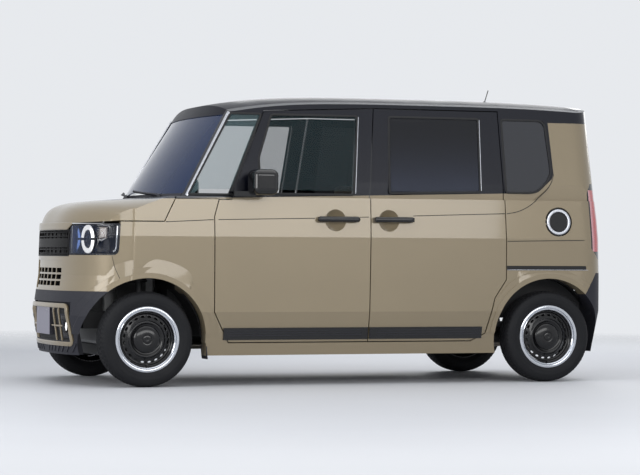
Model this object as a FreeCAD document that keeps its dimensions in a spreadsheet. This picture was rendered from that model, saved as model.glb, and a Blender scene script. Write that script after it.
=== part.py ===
import FreeCAD, Part
import math
import os
import re
import Sketcher
from FreeCAD import Placement, Rotation, Vector

doc = FreeCAD.newDocument("kei_car")
sheet = doc.addObject("Spreadsheet::Sheet", "Sizes")

# Driving dimensions in millimetres. X points to the front, Y to the car's left, Z up,
# and the origin lies on the ground at mid length.
driving_sizes = {
    # whole car
    "body_length": 3395, "body_width": 1475, "roof_height": 1726, "wheelbase": 2520,
    "front_overhang": 450.5, "track": 1305, "shut_gap": 6, "seat_gap": 0.3, "overrun": 60,
    # heights of the lower body's outlines
    "sill_bottom": 178, "tuck_height": 430, "flank_height": 640, "shoulder_height": 868,
    "crease_height": 985, "belt_height": 1100, "sill_tuck": 52, "tuck_tuck": 9, "flank_tuck": 8,
    "crease_tuck": 17, "belt_tuck": 27, "chin_back": 34, "flank_back": 30, "shoulder_back": 38,
    "crease_back": 44, "nose_sweep": 500, "tail_sweep": 240, "tail_low_back": 35,
    "tail_shoulder_back": 5, "tail_crease_back": 12, "tail_belt_back": 24,
    # bonnet
    "nose_top": 830, "cowl_front": 1153, "bonnet_drop": 85, "bonnet_skin": 25, "bonnet_shut": 950,
    "bonnet_side_front": 1406, "bonnet_side_rear": 1148, "bonnet_tip": 1080, "nose_dip": 22,
    "cowl_depth": 42,
    # greenhouse
    "glass_foot": 1085, "rail_height": 1603, "glasshouse_half": 706, "rail_half": 613,
    "pillar_foot_x": 1022, "pillar_foot_y": 690, "pillar_top_x": 726, "pillar_top_y": 598,
    "screen_foot_x": 1156, "screen_top_x": 800, "roof_drop": 88, "roof_side_drop": 66,
    "glass_set": 4, "split_lean": 11, "screen_low": 1118, "screen_high": 1584, "roof_seam": 556,
    "pillar_seat": 1088, "tail_glass_back": 22, "tail_rail_back": 46,
    # wall thicknesses
    "door_wall": 85, "frame_wall": 45, "outer_skin": 20, "roof_wall": 35, "glass_wall": 5,
    "fender_wall": 30,
    # shut lines of the doors
    "door_front": 849, "door_rear": -108, "slide_rear": -990, "door_bottom": 252, "door_bow": 93,
    "door_head": 1609, "door_head_front": 518, "door_head_rear": -172, "slide_head_rear": -978,
    "door_head_rise": 30, "door_belt_front": 744, "mirror_step": 819, "mirror_step_height": 1084,
    "slide_waist": 851, "slide_hip": 619, "slide_foot": 297, "slide_foot_x": -860,
    "slide_hip_x": -917, "slide_hip_height": 511, "door_step": 16,
    # glass outlines
    "glass_low": 1120, "glass_low_rear": 1146, "door_glass_front": 562, "door_glass_notch": 1332,
    "door_glass_head_front": 472, "door_glass_rear": -19, "door_glass_head_rear": -69,
    "glass_head": 1592, "slide_glass_front": -245, "slide_glass_head_front": -268,
    "slide_glass_rear": -832, "slide_glass_head_rear": -849, "quarter_front": -1002,
    "quarter_head_front": -999, "quarter_rear": -1205, "glass_round": 20, "gate_glass_round": 45,
    "quarter_round": 110, "quarter_head_round": 38, "quarter_tip": -1312,
    "quarter_tip_height": 1245, "quarter_head_rear": -1290, "fly_glass_front": 1000,
    "fly_glass_rear": 752, "fly_head_front": 722, "fly_head_rear": 534, "fly_glass_low": 1112,
    "screen_margin": 46,
    # wheels and arches
    "tyre_radius": 275, "tyre_width": 155, "rim_radius": 178, "tyre_shoulder": 26, "rim_wall": 7,
    "rim_lip": 9, "rim_lip_height": 12, "cap_radius": 44, "cap_height": 16, "cap_round": 8,
    "wheel_hole_circle": 118, "arch_radius": 352, "arch_lip": 30, "arch_lip_out": 8,
    "arch_lip_soft": 4, "arch_lip_wide": 62, "arch_lip_low": 300, "ball_proud": 8, "leg_half": 60,
    "housing_low": 385, "port_in": 170, "port_up": 62, "silencer_past": 40, "hanger_front_x": 560,
    "hanger_rear_x": -620, "hanger_half": 9, "disc_inset": 20, "cup_wall": 6, "beam_ahead": 120,
    "bulkhead_half": 560, "rail_reach": 840, "front_rail_side": 350, "rail_low": 330,
    "rail_high": 430, "rail_end": 90, "housing_inner": 540, "housing_wall": 8, "pipe_back": 60,
    "silencer_up": 60, "rest_sink": 70, "bench_side": 298, "bench_height": 640,
    "dash_mount_half": 300, "handle_foot": 24, "rim_half": 64, "dish_place": 30, "face_place": 44,
    "well_place": 26, "tyre_bulge": 36, "tyre_wall_in": 3, "grille_rows": 3, "grille_columns": 6,
    "grille_bar": 12, "bumper_split_x": 1438, "frame_reach": 150, "pod_deep": 30,
    "cowl_half": 640, "pillar_seat_x": 1070, "cowl_low": 1040, "lid_gap": 5, "neck_tall": 18,
    "roof_cut": 1500, "wing_inner": 560, "cowl_radius": 2400, "bonnet_rear_centre": 1184,
    "arch_inner": 400, "sill_front": 890,
    # knuckles and steering
    "ball_height": 178, "ball_side": 575, "strut_top_height": 870, "strut_top_side": 480,
    "knuckle_radius": 24, "knuckle_top": 400, "hub_radius": 62, "hub_inner": 560,
    "disc_radius": 118, "disc_wall": 12, "strut_radius": 20, "spring_radius": 52,
    "spring_low": 610, "spring_high": 850, "running_gap": 0.5, "arm_thick": 22,
    "arm_inner_side": 300, "arm_half": 45, "arm_root_half": 130, "crossmember_half": 400,
    "crossmember_long": 150, "crossmember_thick": 60, "crossmember_low": 165, "tower_wall": 8,
    "tower_half": 88,
    # rear axle
    "beam_radius": 34, "beam_height": 258, "arm_pivot_x": -715, "arm_radius": 26, "arm_side": 500,
    "stub_radius": 62, "stub_inner": 500, "bush_radius": 34, "bush_wide": 70,
    # floor and engine
    "floor_top": 330, "floor_thick": 45, "firewall_x": 1010, "firewall_wall": 30, "rail_wide": 60,
    "cargo_step": 500, "rear_floor_x": -760, "engine_long": 330, "engine_wide": 560,
    "engine_tall": 420, "engine_x": 1240, "engine_round": 25, "tank_long": 620, "tank_wide": 690,
    "tank_low": 175, "tank_x": 60, "tank_round": 30, "pipe_radius": 22, "pipe_side": -395,
    "pipe_height": 195, "silencer_radius": 78, "silencer_long": 420, "silencer_x": -1485,
    # front end
    "lamp_low": 757, "lamp_high": 938, "lamp_inner": 452, "lamp_outer_low": 1452,
    "lamp_outer_high": 1398, "lamp_corner": 1410, "lamp_round": 38, "grille_low": 752,
    "grille_deep": 60, "bumper_split": 549, "bumper_wall": 60, "mouth_low": 566,
    "mouth_high": 692, "mouth_half": 290, "mouth_rows": 3, "mouth_columns": 6, "mouth_bar": 11,
    "mouth_set": 5, "mouth_brow": 34, "frame_low": 258, "frame_high": 484, "frame_half": 452,
    "frame_bar": 27, "fog_side": 386, "fog_height": 345, "fog_radius": 34, "fog_deep": 20,
    "pod_half": 46, "bumper_seam_low": 1408, "bumper_seam_height": 588, "plate_wide": 330,
    "plate_tall": 165, "plate_height": 372, "pod_set": 3, "boss_deep": 45, "pod_tall": 70,
    "plate_seat_x": 1672, "plate_edge": 8, "plate_pad": 16, "plate_thick": 2, "insert_set": 2,
    "insert_bar_side": 235, "insert_bar_far": 300, "plate_bolts": 210, "bolt_radius": 3,
    "plate_bolt_up": 60,
    # rear end
    "gate_low": 548, "gate_half": 600, "gate_top_half": 524, "gate_hinge_x": -1545,
    "gate_glass_low": 1150, "gate_glass_high": 1560, "gate_glass_half": 548,
    "gate_glass_top_half": 490, "tail_lamp_front": -1544, "tail_lamp_low": 746,
    "tail_lamp_high": 1207, "tail_lamp_top_x": -1577, "tail_lamp_shoulder": 1152,
    "tail_lamp_foot_x": -1619, "tail_lamp_notch": 812, "tail_lamp_notch_x": -1559,
    "rear_bumper_high": 661, "rear_bumper_x": -1597, "rear_bumper_cut_x": -1508,
    "rear_bumper_cut": 522, "rear_bumper_foot_x": -1543, "rear_plate_height": 716,
    "rear_seat_x": -1684, "rear_edge": 16,
    # fuel lid
    "lid_x": -1339, "lid_height": 971, "lid_radius": 84, "lid_wall": 32, "neck_radius": 34,
    "neck_wall": 10, "lid_bowl_deep": 55,
    # door hinges and front pillar
    "hinge_x": 800, "hinge_side": 716, "hinge_pin": 6, "hinge_arm": 12, "hinge_low": 655,
    "hinge_high": 812, "hinge_tall": 40, "pocket_slack": 3, "hinge_strap": 10, "post_x": 853,
    "post_deep": 28, "post_side": 626, "post_wide": 34,
    # tailgate, bonnet and lid hinges
    "gate_slack": 2, "gate_axis": 1703, "barrel_radius": 6, "barrel_side": 130, "barrel_long": 30,
    "barrel_lug": 30, "barrel_sink": 30, "bonnet_axis_x": 1086, "bonnet_axis": 1095,
    "bonnet_barrel": 4, "bonnet_barrel_side": 642, "bonnet_barrel_long": 14, "bonnet_lug": 26,
    "lid_barrel": 3, "lid_barrel_half": 9, "lid_axis_in": 3, "lid_axis_back": 1,
    "lid_pocket": 2.5,
    # door furniture
    "handle_height": 974, "handle_long": 250, "handle_tall": 26, "handle_out": 34,
    "handle_thick": 12, "front_handle_x": 92, "slide_handle_x": -257, "recess_radius": 100,
    "recess_x": 104, "slide_recess_x": -232, "recess_deep": 24, "mould_low": 268,
    "mould_high": 338, "mould_front": 790, "mould_rear": -836, "mould_out": 8, "mould_gap": 5,
    "slide_rail_low": 676, "slide_rail_high": 704, "slide_rail_deep": 10,
    "slide_rail_rear": -1575, "mirror_x": 505, "mirror_long": 150, "mirror_tall": 150,
    "mirror_wide": 170, "mirror_side": 796, "mirror_low": 1108, "mirror_round": 38,
    "mirror_arm": 30, "mirror_arm_x": 690, "mirror_arm_long": 130,
    # inside
    "seat_wide": 480, "seat_long": 500, "seat_thick": 170, "seat_height": 560, "seat_side": 300,
    "seat_x": 40, "back_tall": 600, "back_thick": 120, "back_lean": 14, "rest_tall": 190,
    "rest_wide": 260, "rest_thick": 90, "seat_round": 40, "bench_x": -820, "bench_wide": 590,
    "dash_front": 985, "dash_rear": 700, "dash_low": 640, "dash_high": 1000, "dash_half": 600,
    "dash_round": 40, "wheel_ring": 180, "wheel_tube": 14, "steer_x": 520, "steer_side": 300,
    "steer_height": 905, "steer_lean": 62, "column_radius": 22, "column_long": 230,
    "wheel_boss": 62, "boss_thick": 34, "spoke_wide": 36, "spoke_thick": 14,
    # trim
    "aerial_long": 82, "aerial_radius": 3, "aerial_x": -1157, "aerial_lean": 72,
    "aerial_foot": 16, "aerial_foot_tall": 14,
}

# shares chosen by hand: how the bonnet falls forward, as (reach share, height share)
bonnet_shares = [(1.02, 0.0), (0.985, 0.34), (0.955, 0.56), (0.90, 0.72), (0.79, 0.84),
                 (0.55, 0.92), (0.28, 0.965), (0.0, 1.0)]
# how the roof falls from its top, as (place along the roof, drop as a share of roof_drop)
roof_shares = [(0.0, 3.6), (0.035, 2.2), (0.08, 1.25), (0.15, 0.62), (0.24, 0.24),
               (0.38, 0.03), (0.55, 0.0), (0.75, 0.02), (0.90, 0.17), (1.0, 0.42)]
nose_power, tail_power = 2.7, 4.0
sweep_steps = 8
corner_steps = 6

for row, (alias, value) in enumerate(driving_sizes.items(), start=1):
    sheet.set("A%d" % row, alias)
    sheet.set("B%d" % row, str(value))
    sheet.setAlias("B%d" % row, alias)
doc.recompute()


class Sizes:
    # reads a driving dimension from the sheet by its name
    def __getattr__(self, alias):
        return float(sheet.get(alias))


s = Sizes()
half_length = s.body_length / 2
half_width = s.body_width / 2
front_axle = half_length - s.front_overhang
rear_axle = front_axle - s.wheelbase
wheel_side = s.track / 2
wheel_height = s.tyre_radius


def keep(label, shape):
    # a sub-part whose form comes from lofts and cuts, kept as one document object
    feature = doc.addObject("Part::Feature", label)
    feature.Label = label
    feature.Shape = shape
    feature.Placement = Placement()
    return feature


def clean(shape):
    # drops seams between cut faces and keeps a plain solid or a compound of solids
    shape = shape.removeSplitter()
    return shape.Solids[0] if len(shape.Solids) == 1 else Part.makeCompound(shape.Solids)


def block(x0, x1, y0, y1, z0, z1):
    return Part.makeBox(abs(x1 - x0), abs(y1 - y0), abs(z1 - z0),
                        Vector(min(x0, x1), min(y0, y1), min(z0, z1)))


def side_prism(points, y0, y1):
    # extrudes an outline drawn in the side view from y0 to y1
    corners = [Vector(x, min(y0, y1), z) for x, z in points]
    face = Part.Face(Part.makePolygon(corners + corners[:1]))
    return face.extrude(Vector(0, abs(y1 - y0), 0))


def front_prism(points, x0, x1):
    # extrudes an outline drawn in the front view from x0 to x1
    corners = [Vector(min(x0, x1), y, z) for y, z in points]
    face = Part.Face(Part.makePolygon(corners + corners[:1]))
    return face.extrude(Vector(abs(x1 - x0), 0, 0))


def plan_prism(points, z0, z1):
    # extrudes an outline drawn from above from z0 to z1
    corners = [Vector(x, y, z0) for x, y in points]
    face = Part.Face(Part.makePolygon(corners + corners[:1]))
    return face.extrude(Vector(0, 0, z1 - z0))


def mirrored(shape):
    return shape.mirror(Vector(0, 0, 0), Vector(0, 1, 0))


def whole(left):
    # one piece from its left half and the mirror image
    return clean(left.fuse(mirrored(left)))


def both_sides(shape):
    return Part.makeCompound(shape.Solids + mirrored(shape).Solids)


def smooth_edge(points, ends=None):
    # a smooth curve through the points, with the direction at its two ends where it is given
    curve = Part.BSplineCurve()
    if ends is None:
        curve.interpolate(points)
    else:
        curve.interpolate(Points=points, InitialTangent=ends[0], FinalTangent=ends[1])
    return curve.toShape()


def bow(across, half, power):
    # share of the sweep's depth that is left at a place across it, from a superellipse
    return (1 - min(1.0, abs(across) / half) ** power) ** (1 / power)


def sweep_points(tip, depth, half, power, z):
    # an end of the body seen from above, from the right side round to the left
    turns = [math.sin(math.pi / 2 * step / sweep_steps)
             for step in range(-sweep_steps, sweep_steps + 1)]
    sign = 1 if tip > 0 else -1
    return [Vector(tip - sign * depth * (1 - bow(t * half, half, power)), t * half, z)
            for t in turns]


def sweep_edge(points, reverse=False):
    # an end of the body as one curve that leaves both flanks along the car
    tip, flank = points[len(points) // 2].x, points[0].x
    start = Vector(tip - flank, 0, 0)
    if reverse:
        return smooth_edge(points[::-1], (start, start.negative()))
    return smooth_edge(points, (start, start.negative()))


def tub_section(z, tuck, front_back, tail_back, inset):
    half = half_width - tuck - inset
    nose = sweep_points(half_length - front_back - inset, s.nose_sweep, half, nose_power, z)
    tail = sweep_points(-half_length + tail_back + inset, s.tail_sweep, half, tail_power, z)
    edges = [sweep_edge(nose), Part.makeLine(nose[-1], tail[-1]),
             sweep_edge(tail, True), Part.makeLine(tail[0], nose[0])]
    return Part.Wire(edges)


def bonnet_cover(inset):
    # everything under the bonnet's crowned surface and under the belt line behind it
    wires = []
    top = s.belt_height - inset
    for across in (-1.06, -0.85, -0.5, 0.0, 0.5, 0.85, 1.06):
        y = across * half_width
        reach = half_length - s.shoulder_back - inset - s.nose_sweep * (
            1 - bow(min(abs(across), 0.97) * half_width, half_width, nose_power))
        drop = s.bonnet_drop * min(abs(across), 1.0) ** 3
        rear = s.cowl_front - s.cowl_depth
        points = []
        for reach_share, height_share in bonnet_shares:
            x = rear + (reach - rear) * reach_share
            z = s.nose_top + (top - s.nose_top) * height_share
            points.append(Vector(x, y, z - drop * reach_share))
        low_front = Vector(points[0].x + s.overrun, y, 0)
        low_rear = Vector(-half_length - s.overrun, y, 0)
        high_rear = Vector(-half_length - s.overrun, y, top)
        edges = [smooth_edge(points), Part.makeLine(points[-1], high_rear),
                 Part.makeLine(high_rear, low_rear), Part.makeLine(low_rear, low_front),
                 Part.makeLine(low_front, points[0])]
        wires.append(Part.Wire(edges))
    return Part.makeLoft(wires, True, False)


# the lower body's level outlines: height, tuck at the side, set back at the nose and tail
levels = [(s.sill_bottom, s.sill_tuck, s.chin_back, s.tail_low_back),
          (s.tuck_height, s.tuck_tuck, 0, 0),
          (s.flank_height, s.flank_tuck, s.flank_back, 0),
          (s.shoulder_height, s.flank_tuck, s.shoulder_back, s.tail_shoulder_back),
          (s.crease_height, s.crease_tuck, s.crease_back, s.tail_crease_back),
          (s.belt_height, s.belt_tuck, s.crease_back, s.tail_belt_back)]


def flank_side(z):
    # how far out the flank stands at a height
    for (low, low_tuck, _, _), (high, high_tuck, _, _) in zip(levels, levels[1:]):
        if low <= z <= high:
            share = (z - low) / (high - low)
            return half_width - low_tuck - (high_tuck - low_tuck) * share
    raise ValueError("no flank at height %g" % z)


tubs = {}


def tub(inset, cover_inset=0):
    # the lower body, built up through level outlines and cut to the bonnet's surface; each
    # size of it is worked out once
    if (inset, cover_inset) in tubs:
        return tubs[inset, cover_inset]
    wires = [tub_section(z, tuck, front, tail, inset) for z, tuck, front, tail in levels]
    tubs[inset, cover_inset] = Part.makeLoft(wires, True, True).common(bonnet_cover(cover_inset))
    return tubs[inset, cover_inset]


def glasshouse_section(z, inset):
    rise = (z - s.glass_foot) / (s.rail_height - s.glass_foot)

    def between(low, high):
        return low + (high - low) * rise

    half = between(s.glasshouse_half, s.rail_half) - inset
    post_x = between(s.pillar_foot_x, s.pillar_top_x) - inset
    post_y = between(s.pillar_foot_y, s.pillar_top_y) - inset
    tip = between(s.screen_foot_x, s.screen_top_x) - inset
    back = between(s.tail_glass_back, s.tail_rail_back) + inset
    corner = s.pillar_foot_y * 0.1
    tail = sweep_points(-half_length + back, s.tail_sweep, half, tail_power, z)
    post_left, post_right = Vector(post_x, post_y, z), Vector(post_x, -post_y, z)
    side_left, side_right = Vector(post_x - corner, half, z), Vector(post_x - corner, -half, z)
    bend = (half - post_y) * 0.72
    bend_left = Vector(post_x - corner * 0.4, post_y + bend, z)
    bend_right = Vector(post_x - corner * 0.4, -post_y - bend, z)
    edges = [Part.Arc(post_right, Vector(tip, 0, z), post_left).toShape(),
             Part.Arc(post_left, bend_left, side_left).toShape(),
             Part.makeLine(side_left, tail[-1]), sweep_edge(tail, True),
             Part.makeLine(tail[0], side_right),
             Part.Arc(side_right, bend_right, post_right).toShape()]
    return Part.Wire(edges)


def roof_cover(inset):
    # everything under the roof's crowned surface
    wires = []
    front = s.screen_foot_x - s.cowl_depth
    rear = -half_length - s.overrun
    for across in (-1.12, -0.82, -0.45, 0.0, 0.45, 0.82, 1.12):
        y = across * s.rail_half
        side_drop = s.roof_side_drop * abs(across) ** 3
        points = [Vector(front + (rear - front) * place, y,
                         s.roof_height - inset - side_drop - s.roof_drop * drop)
                  for place, drop in roof_shares]
        low_front, low_rear = Vector(front, y, 0), Vector(rear, y, 0)
        wires.append(Part.Wire([smooth_edge(points), Part.makeLine(points[-1], low_rear),
                                Part.makeLine(low_rear, low_front),
                                Part.makeLine(low_front, points[0])]))
    return Part.makeLoft(wires, True, False)


def glasshouse(inset, roof_inset):
    top = s.roof_height + s.roof_wall
    foot = s.glass_foot - s.overrun
    wires = [glasshouse_section(z, inset) for z in (foot, s.rail_height, top)]
    return Part.makeLoft(wires, True, True).common(roof_cover(roof_inset))


def region(points, grow=0.0):
    # an outline moved in or out by the same distance along every edge
    corners = [Vector(a, b, 0) for a, b in points]
    face = Part.Face(Part.makePolygon(corners + corners[:1]))
    if grow:
        face = face.makeOffset2D(grow, 2)
    return [(corner.X, corner.Y) for corner in face.OuterWire.OrderedVertexes]


def rounded(points, radii):
    # an outline whose named corners become curves that touch both of their edges
    outline = []
    for place, (x, z) in enumerate(points):
        if place not in radii:
            outline.append((x, z))
            continue
        corner = Vector(x, 0, z)
        (x0, z0), (x2, z2) = points[place - 1], points[(place + 1) % len(points)]
        back = (Vector(x0, 0, z0) - corner).normalize()
        ahead = (Vector(x2, 0, z2) - corner).normalize()
        reach_back = radii[place] / math.tan(back.getAngle(ahead) / 2)
        start, end = corner + back * reach_back, corner + ahead * reach_back
        for step in range(corner_steps + 1):
            share = step / corner_steps
            point = (start * (1 - share) ** 2 + corner * (2 * share * (1 - share))
                     + end * share ** 2)
            outline.append((point.x, point.z))
    return outline


half_gap = s.shut_gap / 2
fit = s.seat_gap / 2
reach = half_width + s.overrun
nose_end = half_length + s.overrun
tail_end = -nose_end
sky = s.roof_height + s.overrun
ground = 0

# the closed volumes that every panel is cut from
tub_full = tub(0)
house_full = glasshouse(0, 0)
envelope = tub_full.fuse(house_full)
room = tub(s.door_wall, 0).fuse(glasshouse(s.frame_wall, s.roof_wall))
room = room.common(block(tail_end, s.firewall_x, -reach, reach, ground, sky))
bay = tub(s.fender_wall, s.bonnet_skin)
bay = bay.common(block(s.firewall_x + s.firewall_wall, nose_end, -reach, reach, ground, sky))
shell = envelope.cut(room).cut(bay)
glazing = glasshouse(s.glass_set, s.glass_set).cut(
    glasshouse(s.glass_set + s.glass_wall, s.glass_set + s.glass_wall))

# outlines in the side view, from front to rear
split_line = [(s.door_rear, s.door_bottom), (s.door_rear - s.split_lean, s.belt_height),
              (s.door_head_rear, s.door_head + s.door_head_rise)]
front_edge = [(s.door_head_front, s.door_head), (s.door_belt_front, s.mirror_step_height),
              (s.mirror_step, s.mirror_step_height), (s.door_front, s.crease_height),
              (s.door_front, s.tuck_height), (s.door_front - s.door_bow, s.door_bottom)]
slide_edge = [(s.slide_foot_x, s.slide_foot), (s.slide_hip_x, s.slide_hip_height),
              (s.slide_rear, s.slide_hip), (s.slide_rear, s.slide_waist),
              (s.slide_head_rear, s.door_head + s.door_head_rise)]
front_door_outline = front_edge + split_line
slide_foot = (s.slide_foot_x + s.door_bow, s.door_bottom)
slide_outline = split_line[::-1] + [slide_foot] + slide_edge
door_glass_outline = rounded(
    [(s.door_glass_front, s.glass_low), (s.door_glass_front, s.door_glass_notch),
     (s.door_glass_head_front, s.glass_head), (s.door_glass_head_rear, s.glass_head),
     (s.door_glass_rear, s.glass_low)],
    {0: s.glass_round, 2: s.glass_round, 3: s.glass_round, 4: s.glass_round})
slide_glass_outline = rounded(
    [(s.slide_glass_front, s.glass_low), (s.slide_glass_head_front, s.glass_head),
     (s.slide_glass_head_rear, s.glass_head), (s.slide_glass_rear, s.glass_low_rear)],
    dict.fromkeys(range(4), s.glass_round))
quarter_outline = rounded(
    [(s.quarter_front, s.glass_low_rear), (s.quarter_head_front, s.glass_head),
     (s.quarter_head_rear, s.glass_head), (s.quarter_tip, s.quarter_tip_height),
     (s.quarter_rear, s.glass_low_rear)],
    {0: s.glass_round, 1: s.glass_round, 2: s.quarter_head_round, 3: s.quarter_round,
     4: s.quarter_round})
fly_outline = [(s.fly_glass_front, s.fly_glass_low), (s.fly_head_front, s.glass_head),
               (s.fly_head_rear, s.glass_head), (s.fly_glass_rear, s.fly_glass_low)]
lamp_edge = rounded([(s.lamp_outer_high, s.lamp_high), (s.lamp_corner, s.lamp_low),
                     (s.lamp_outer_low, s.lamp_low)], {1: s.lamp_round})
fender_outline = [(s.door_front - s.door_bow, s.door_bottom), (s.door_front, s.tuck_height),
                  (s.door_front, s.crease_height), (s.mirror_step, s.mirror_step_height),
                  (s.bonnet_tip, s.mirror_step_height), (s.bonnet_side_rear, s.bonnet_shut),
                  (s.lamp_outer_high, s.bonnet_shut), *lamp_edge,
                  (s.bumper_seam_low, s.bumper_seam_height),
                  (front_axle, wheel_height), (s.door_front + s.door_bow / 2, s.door_bottom)]
bonnet_outline = [(s.bonnet_tip, s.mirror_step_height), (s.bonnet_side_rear, s.bonnet_shut),
                  (s.bonnet_side_front, s.bonnet_shut), (nose_end, s.bonnet_shut - s.nose_dip),
                  (nose_end, sky), (s.bonnet_tip, sky)]
screen_outline = [(-s.pillar_foot_y + s.screen_margin, s.screen_low),
                  (s.pillar_foot_y - s.screen_margin, s.screen_low),
                  (s.pillar_top_y - s.screen_margin, s.screen_high),
                  (-s.pillar_top_y + s.screen_margin, s.screen_high)]
gate_outline = [(-s.gate_half, s.gate_low), (s.gate_half, s.gate_low),
                (s.gate_half, s.belt_height), (s.gate_top_half, s.rail_height),
                (s.gate_top_half, sky), (-s.gate_top_half, sky),
                (-s.gate_top_half, s.rail_height), (-s.gate_half, s.belt_height)]
gate_glass_outline = rounded(
    [(-s.gate_glass_half, s.gate_glass_low), (s.gate_glass_half, s.gate_glass_low),
     (s.gate_glass_top_half, s.gate_glass_high), (-s.gate_glass_top_half, s.gate_glass_high)],
    dict.fromkeys(range(4), s.gate_glass_round))
tail_lamp_outline = [(tail_end, s.tail_lamp_high), (s.tail_lamp_top_x, s.tail_lamp_high),
                     (s.tail_lamp_front, s.tail_lamp_shoulder),
                     (s.tail_lamp_notch_x, s.tail_lamp_notch), (s.tail_lamp_foot_x, s.tail_lamp_low),
                     (tail_end, s.tail_lamp_low)]
rear_bumper_outline = [(tail_end, s.rear_bumper_high), (s.rear_bumper_x, s.rear_bumper_high),
                       (s.rear_bumper_cut_x, s.rear_bumper_cut),
                       (s.rear_bumper_foot_x, s.sill_bottom - s.overrun),
                       (tail_end, s.sill_bottom - s.overrun)]


def arch(radius, axle_x, inner):
    # a wheel's arch as a cylinder from an inner side out past the flank, left side
    return Part.makeCylinder(radius, reach - inner, Vector(axle_x, inner, wheel_height),
                             Vector(0, 1, 0))


def side_cut(outline, grow, inner=0.0):
    return side_prism(region(outline, grow), inner, reach)


arches = both_sides(arch(s.arch_radius, front_axle, s.arch_inner).fuse(
    arch(s.arch_radius, rear_axle, s.arch_inner)))
left_half = block(tail_end, nose_end, half_gap, reach, ground, sky)
roof_zone = block(s.gate_hinge_x, half_length, -s.roof_seam, s.roof_seam, s.screen_low, sky)
screen_hole = front_prism(screen_outline, 0, half_length)


# raised lips round the wheel arches, in two steps that follow the flank
def lip_ring(radius, axle_x):
    return arch(radius, axle_x, s.arch_inner).cut(arch(s.arch_radius, axle_x, s.arch_inner))


lips = []
for grow, radius in ((s.arch_lip_soft, s.arch_radius + s.arch_lip_wide),
                     (s.arch_lip_out, s.arch_radius + s.arch_lip)):
    layer = tub(-grow, -grow).cut(tub_full)
    for axle_x in (front_axle, rear_axle):
        ring = layer.common(lip_ring(radius, axle_x)).common(
            block(tail_end, nose_end, 0, reach, s.arch_lip_low, sky))
        lips.append(ring)
lip_layer = lips[0].fuse(lips[2]).fuse(lips[1]).fuse(lips[3])
front_lip = lip_layer.common(block(0, nose_end, 0, reach, ground, sky))
rear_lip = lip_layer.common(block(tail_end, 0, 0, reach, ground, sky))


# doors: the outer skin runs to the outline, the inner layer steps back at the rear edge
def door_panel(outline, step_line, glass_outline):
    panel = shell.common(side_cut(outline, -half_gap, s.roof_seam + half_gap))
    if step_line:
        near = [(x + s.door_step, z) for x, z in step_line]
        far = [(x - s.overrun, z) for x, z in step_line]
        inner_layer = skin_inner.common(side_prism(near + far[::-1], 0, reach))
        panel = panel.cut(inner_layer)
    return panel.cut(side_cut(glass_outline, 0))


# door hinges: pins that stand in the door's pockets, on arms from the front pillar
def hinge_rod(radius, low, high):
    return Part.makeCylinder(radius, high - low, Vector(s.hinge_x, s.hinge_side, low))


pockets, hinges = [], []
for low in (s.hinge_low, s.hinge_high):
    top = low + s.hinge_tall
    pockets.append(block(s.hinge_x - s.hinge_arm / 2 - s.pocket_slack, s.door_front, 0,
                         s.hinge_side + s.hinge_arm / 2 + s.running_gap, low, top))
    pockets.append(hinge_rod(s.hinge_pin + s.running_gap, low - s.hinge_pin - s.running_gap,
                             top + s.hinge_pin + s.running_gap))
    arm_low, arm_high = low + s.pocket_slack, top - s.pocket_slack
    hinges.append(hinge_rod(s.hinge_pin, low - s.hinge_pin, top + s.hinge_pin))
    hinges.append(block(s.hinge_x - s.hinge_arm / 2, s.hinge_x + s.hinge_arm / 2,
                        s.post_side, s.hinge_side, arm_low, arm_high))
    hinges.append(block(s.hinge_x - s.hinge_arm / 2, s.post_x + s.post_deep, s.post_side,
                        s.post_side + s.hinge_strap, arm_low, arm_high))
    hinges.append(block(s.post_x, s.post_x + s.post_deep, s.post_side,
                        s.post_side + s.post_wide, arm_low, arm_high))
skin_inner = tub(s.outer_skin, 0).fuse(glasshouse(s.outer_skin, s.outer_skin))
front_door = door_panel(front_door_outline, split_line, door_glass_outline)
front_door = front_door.cut(Part.makeCompound(pockets))


def handle_dish(x):
    # a shallow round hollow behind a door handle
    return Part.makeSphere(s.recess_radius, Vector(
        x, flank_side(s.handle_height) + s.recess_radius - s.recess_deep, s.handle_height))


front_door = front_door.cut(handle_dish(s.recess_x))
slide_door = door_panel(slide_outline, [], slide_glass_outline).cut(arches)
slide_door = slide_door.cut(handle_dish(s.slide_recess_x))
door_glass = glazing.common(side_cut(door_glass_outline, -s.seat_gap))
slide_glass = glazing.common(side_cut(slide_glass_outline, -s.seat_gap))
quarter_glass = glazing.common(side_cut(quarter_outline, -s.seat_gap))
fly_glass = glazing.common(side_cut(fly_outline, -s.seat_gap))
screen_glass = glazing.common(front_prism(region(screen_outline, -s.seat_gap), 0, half_length))
keep("front_door_left", clean(front_door))
keep("front_door_right", clean(mirrored(front_door)))
keep("sliding_doors", both_sides(clean(slide_door)))
keep("front_door_left_glass", clean(door_glass))
keep("front_door_right_glass", clean(mirrored(door_glass)))
keep("sliding_door_glass", both_sides(clean(slide_glass)))
keep("quarter_glass", both_sides(Part.makeCompound(quarter_glass.Solids + fly_glass.Solids)))
keep("windscreen", clean(screen_glass))

# side panels: sill, rear quarter, roof rail and windscreen pillar in one pressing
lower_front = side_prism([(s.sill_front, ground), (nose_end, ground),
                          (nose_end, s.pillar_seat), (s.mirror_step, s.pillar_seat),
                          (s.mirror_step, s.mirror_step_height),
                          (s.door_front, s.crease_height), (s.door_front, s.tuck_height),
                          (s.door_front - s.door_bow, s.door_bottom),
                          (s.sill_front, s.door_bottom)], 0, reach)
gate_zone = front_prism(region(gate_outline, half_gap), tail_end, s.gate_hinge_x + half_gap)


def cross_barrel(radius, x, y, z, long):
    return Part.makeCylinder(radius, long, Vector(x, y, z), Vector(0, 1, 0))


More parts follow.
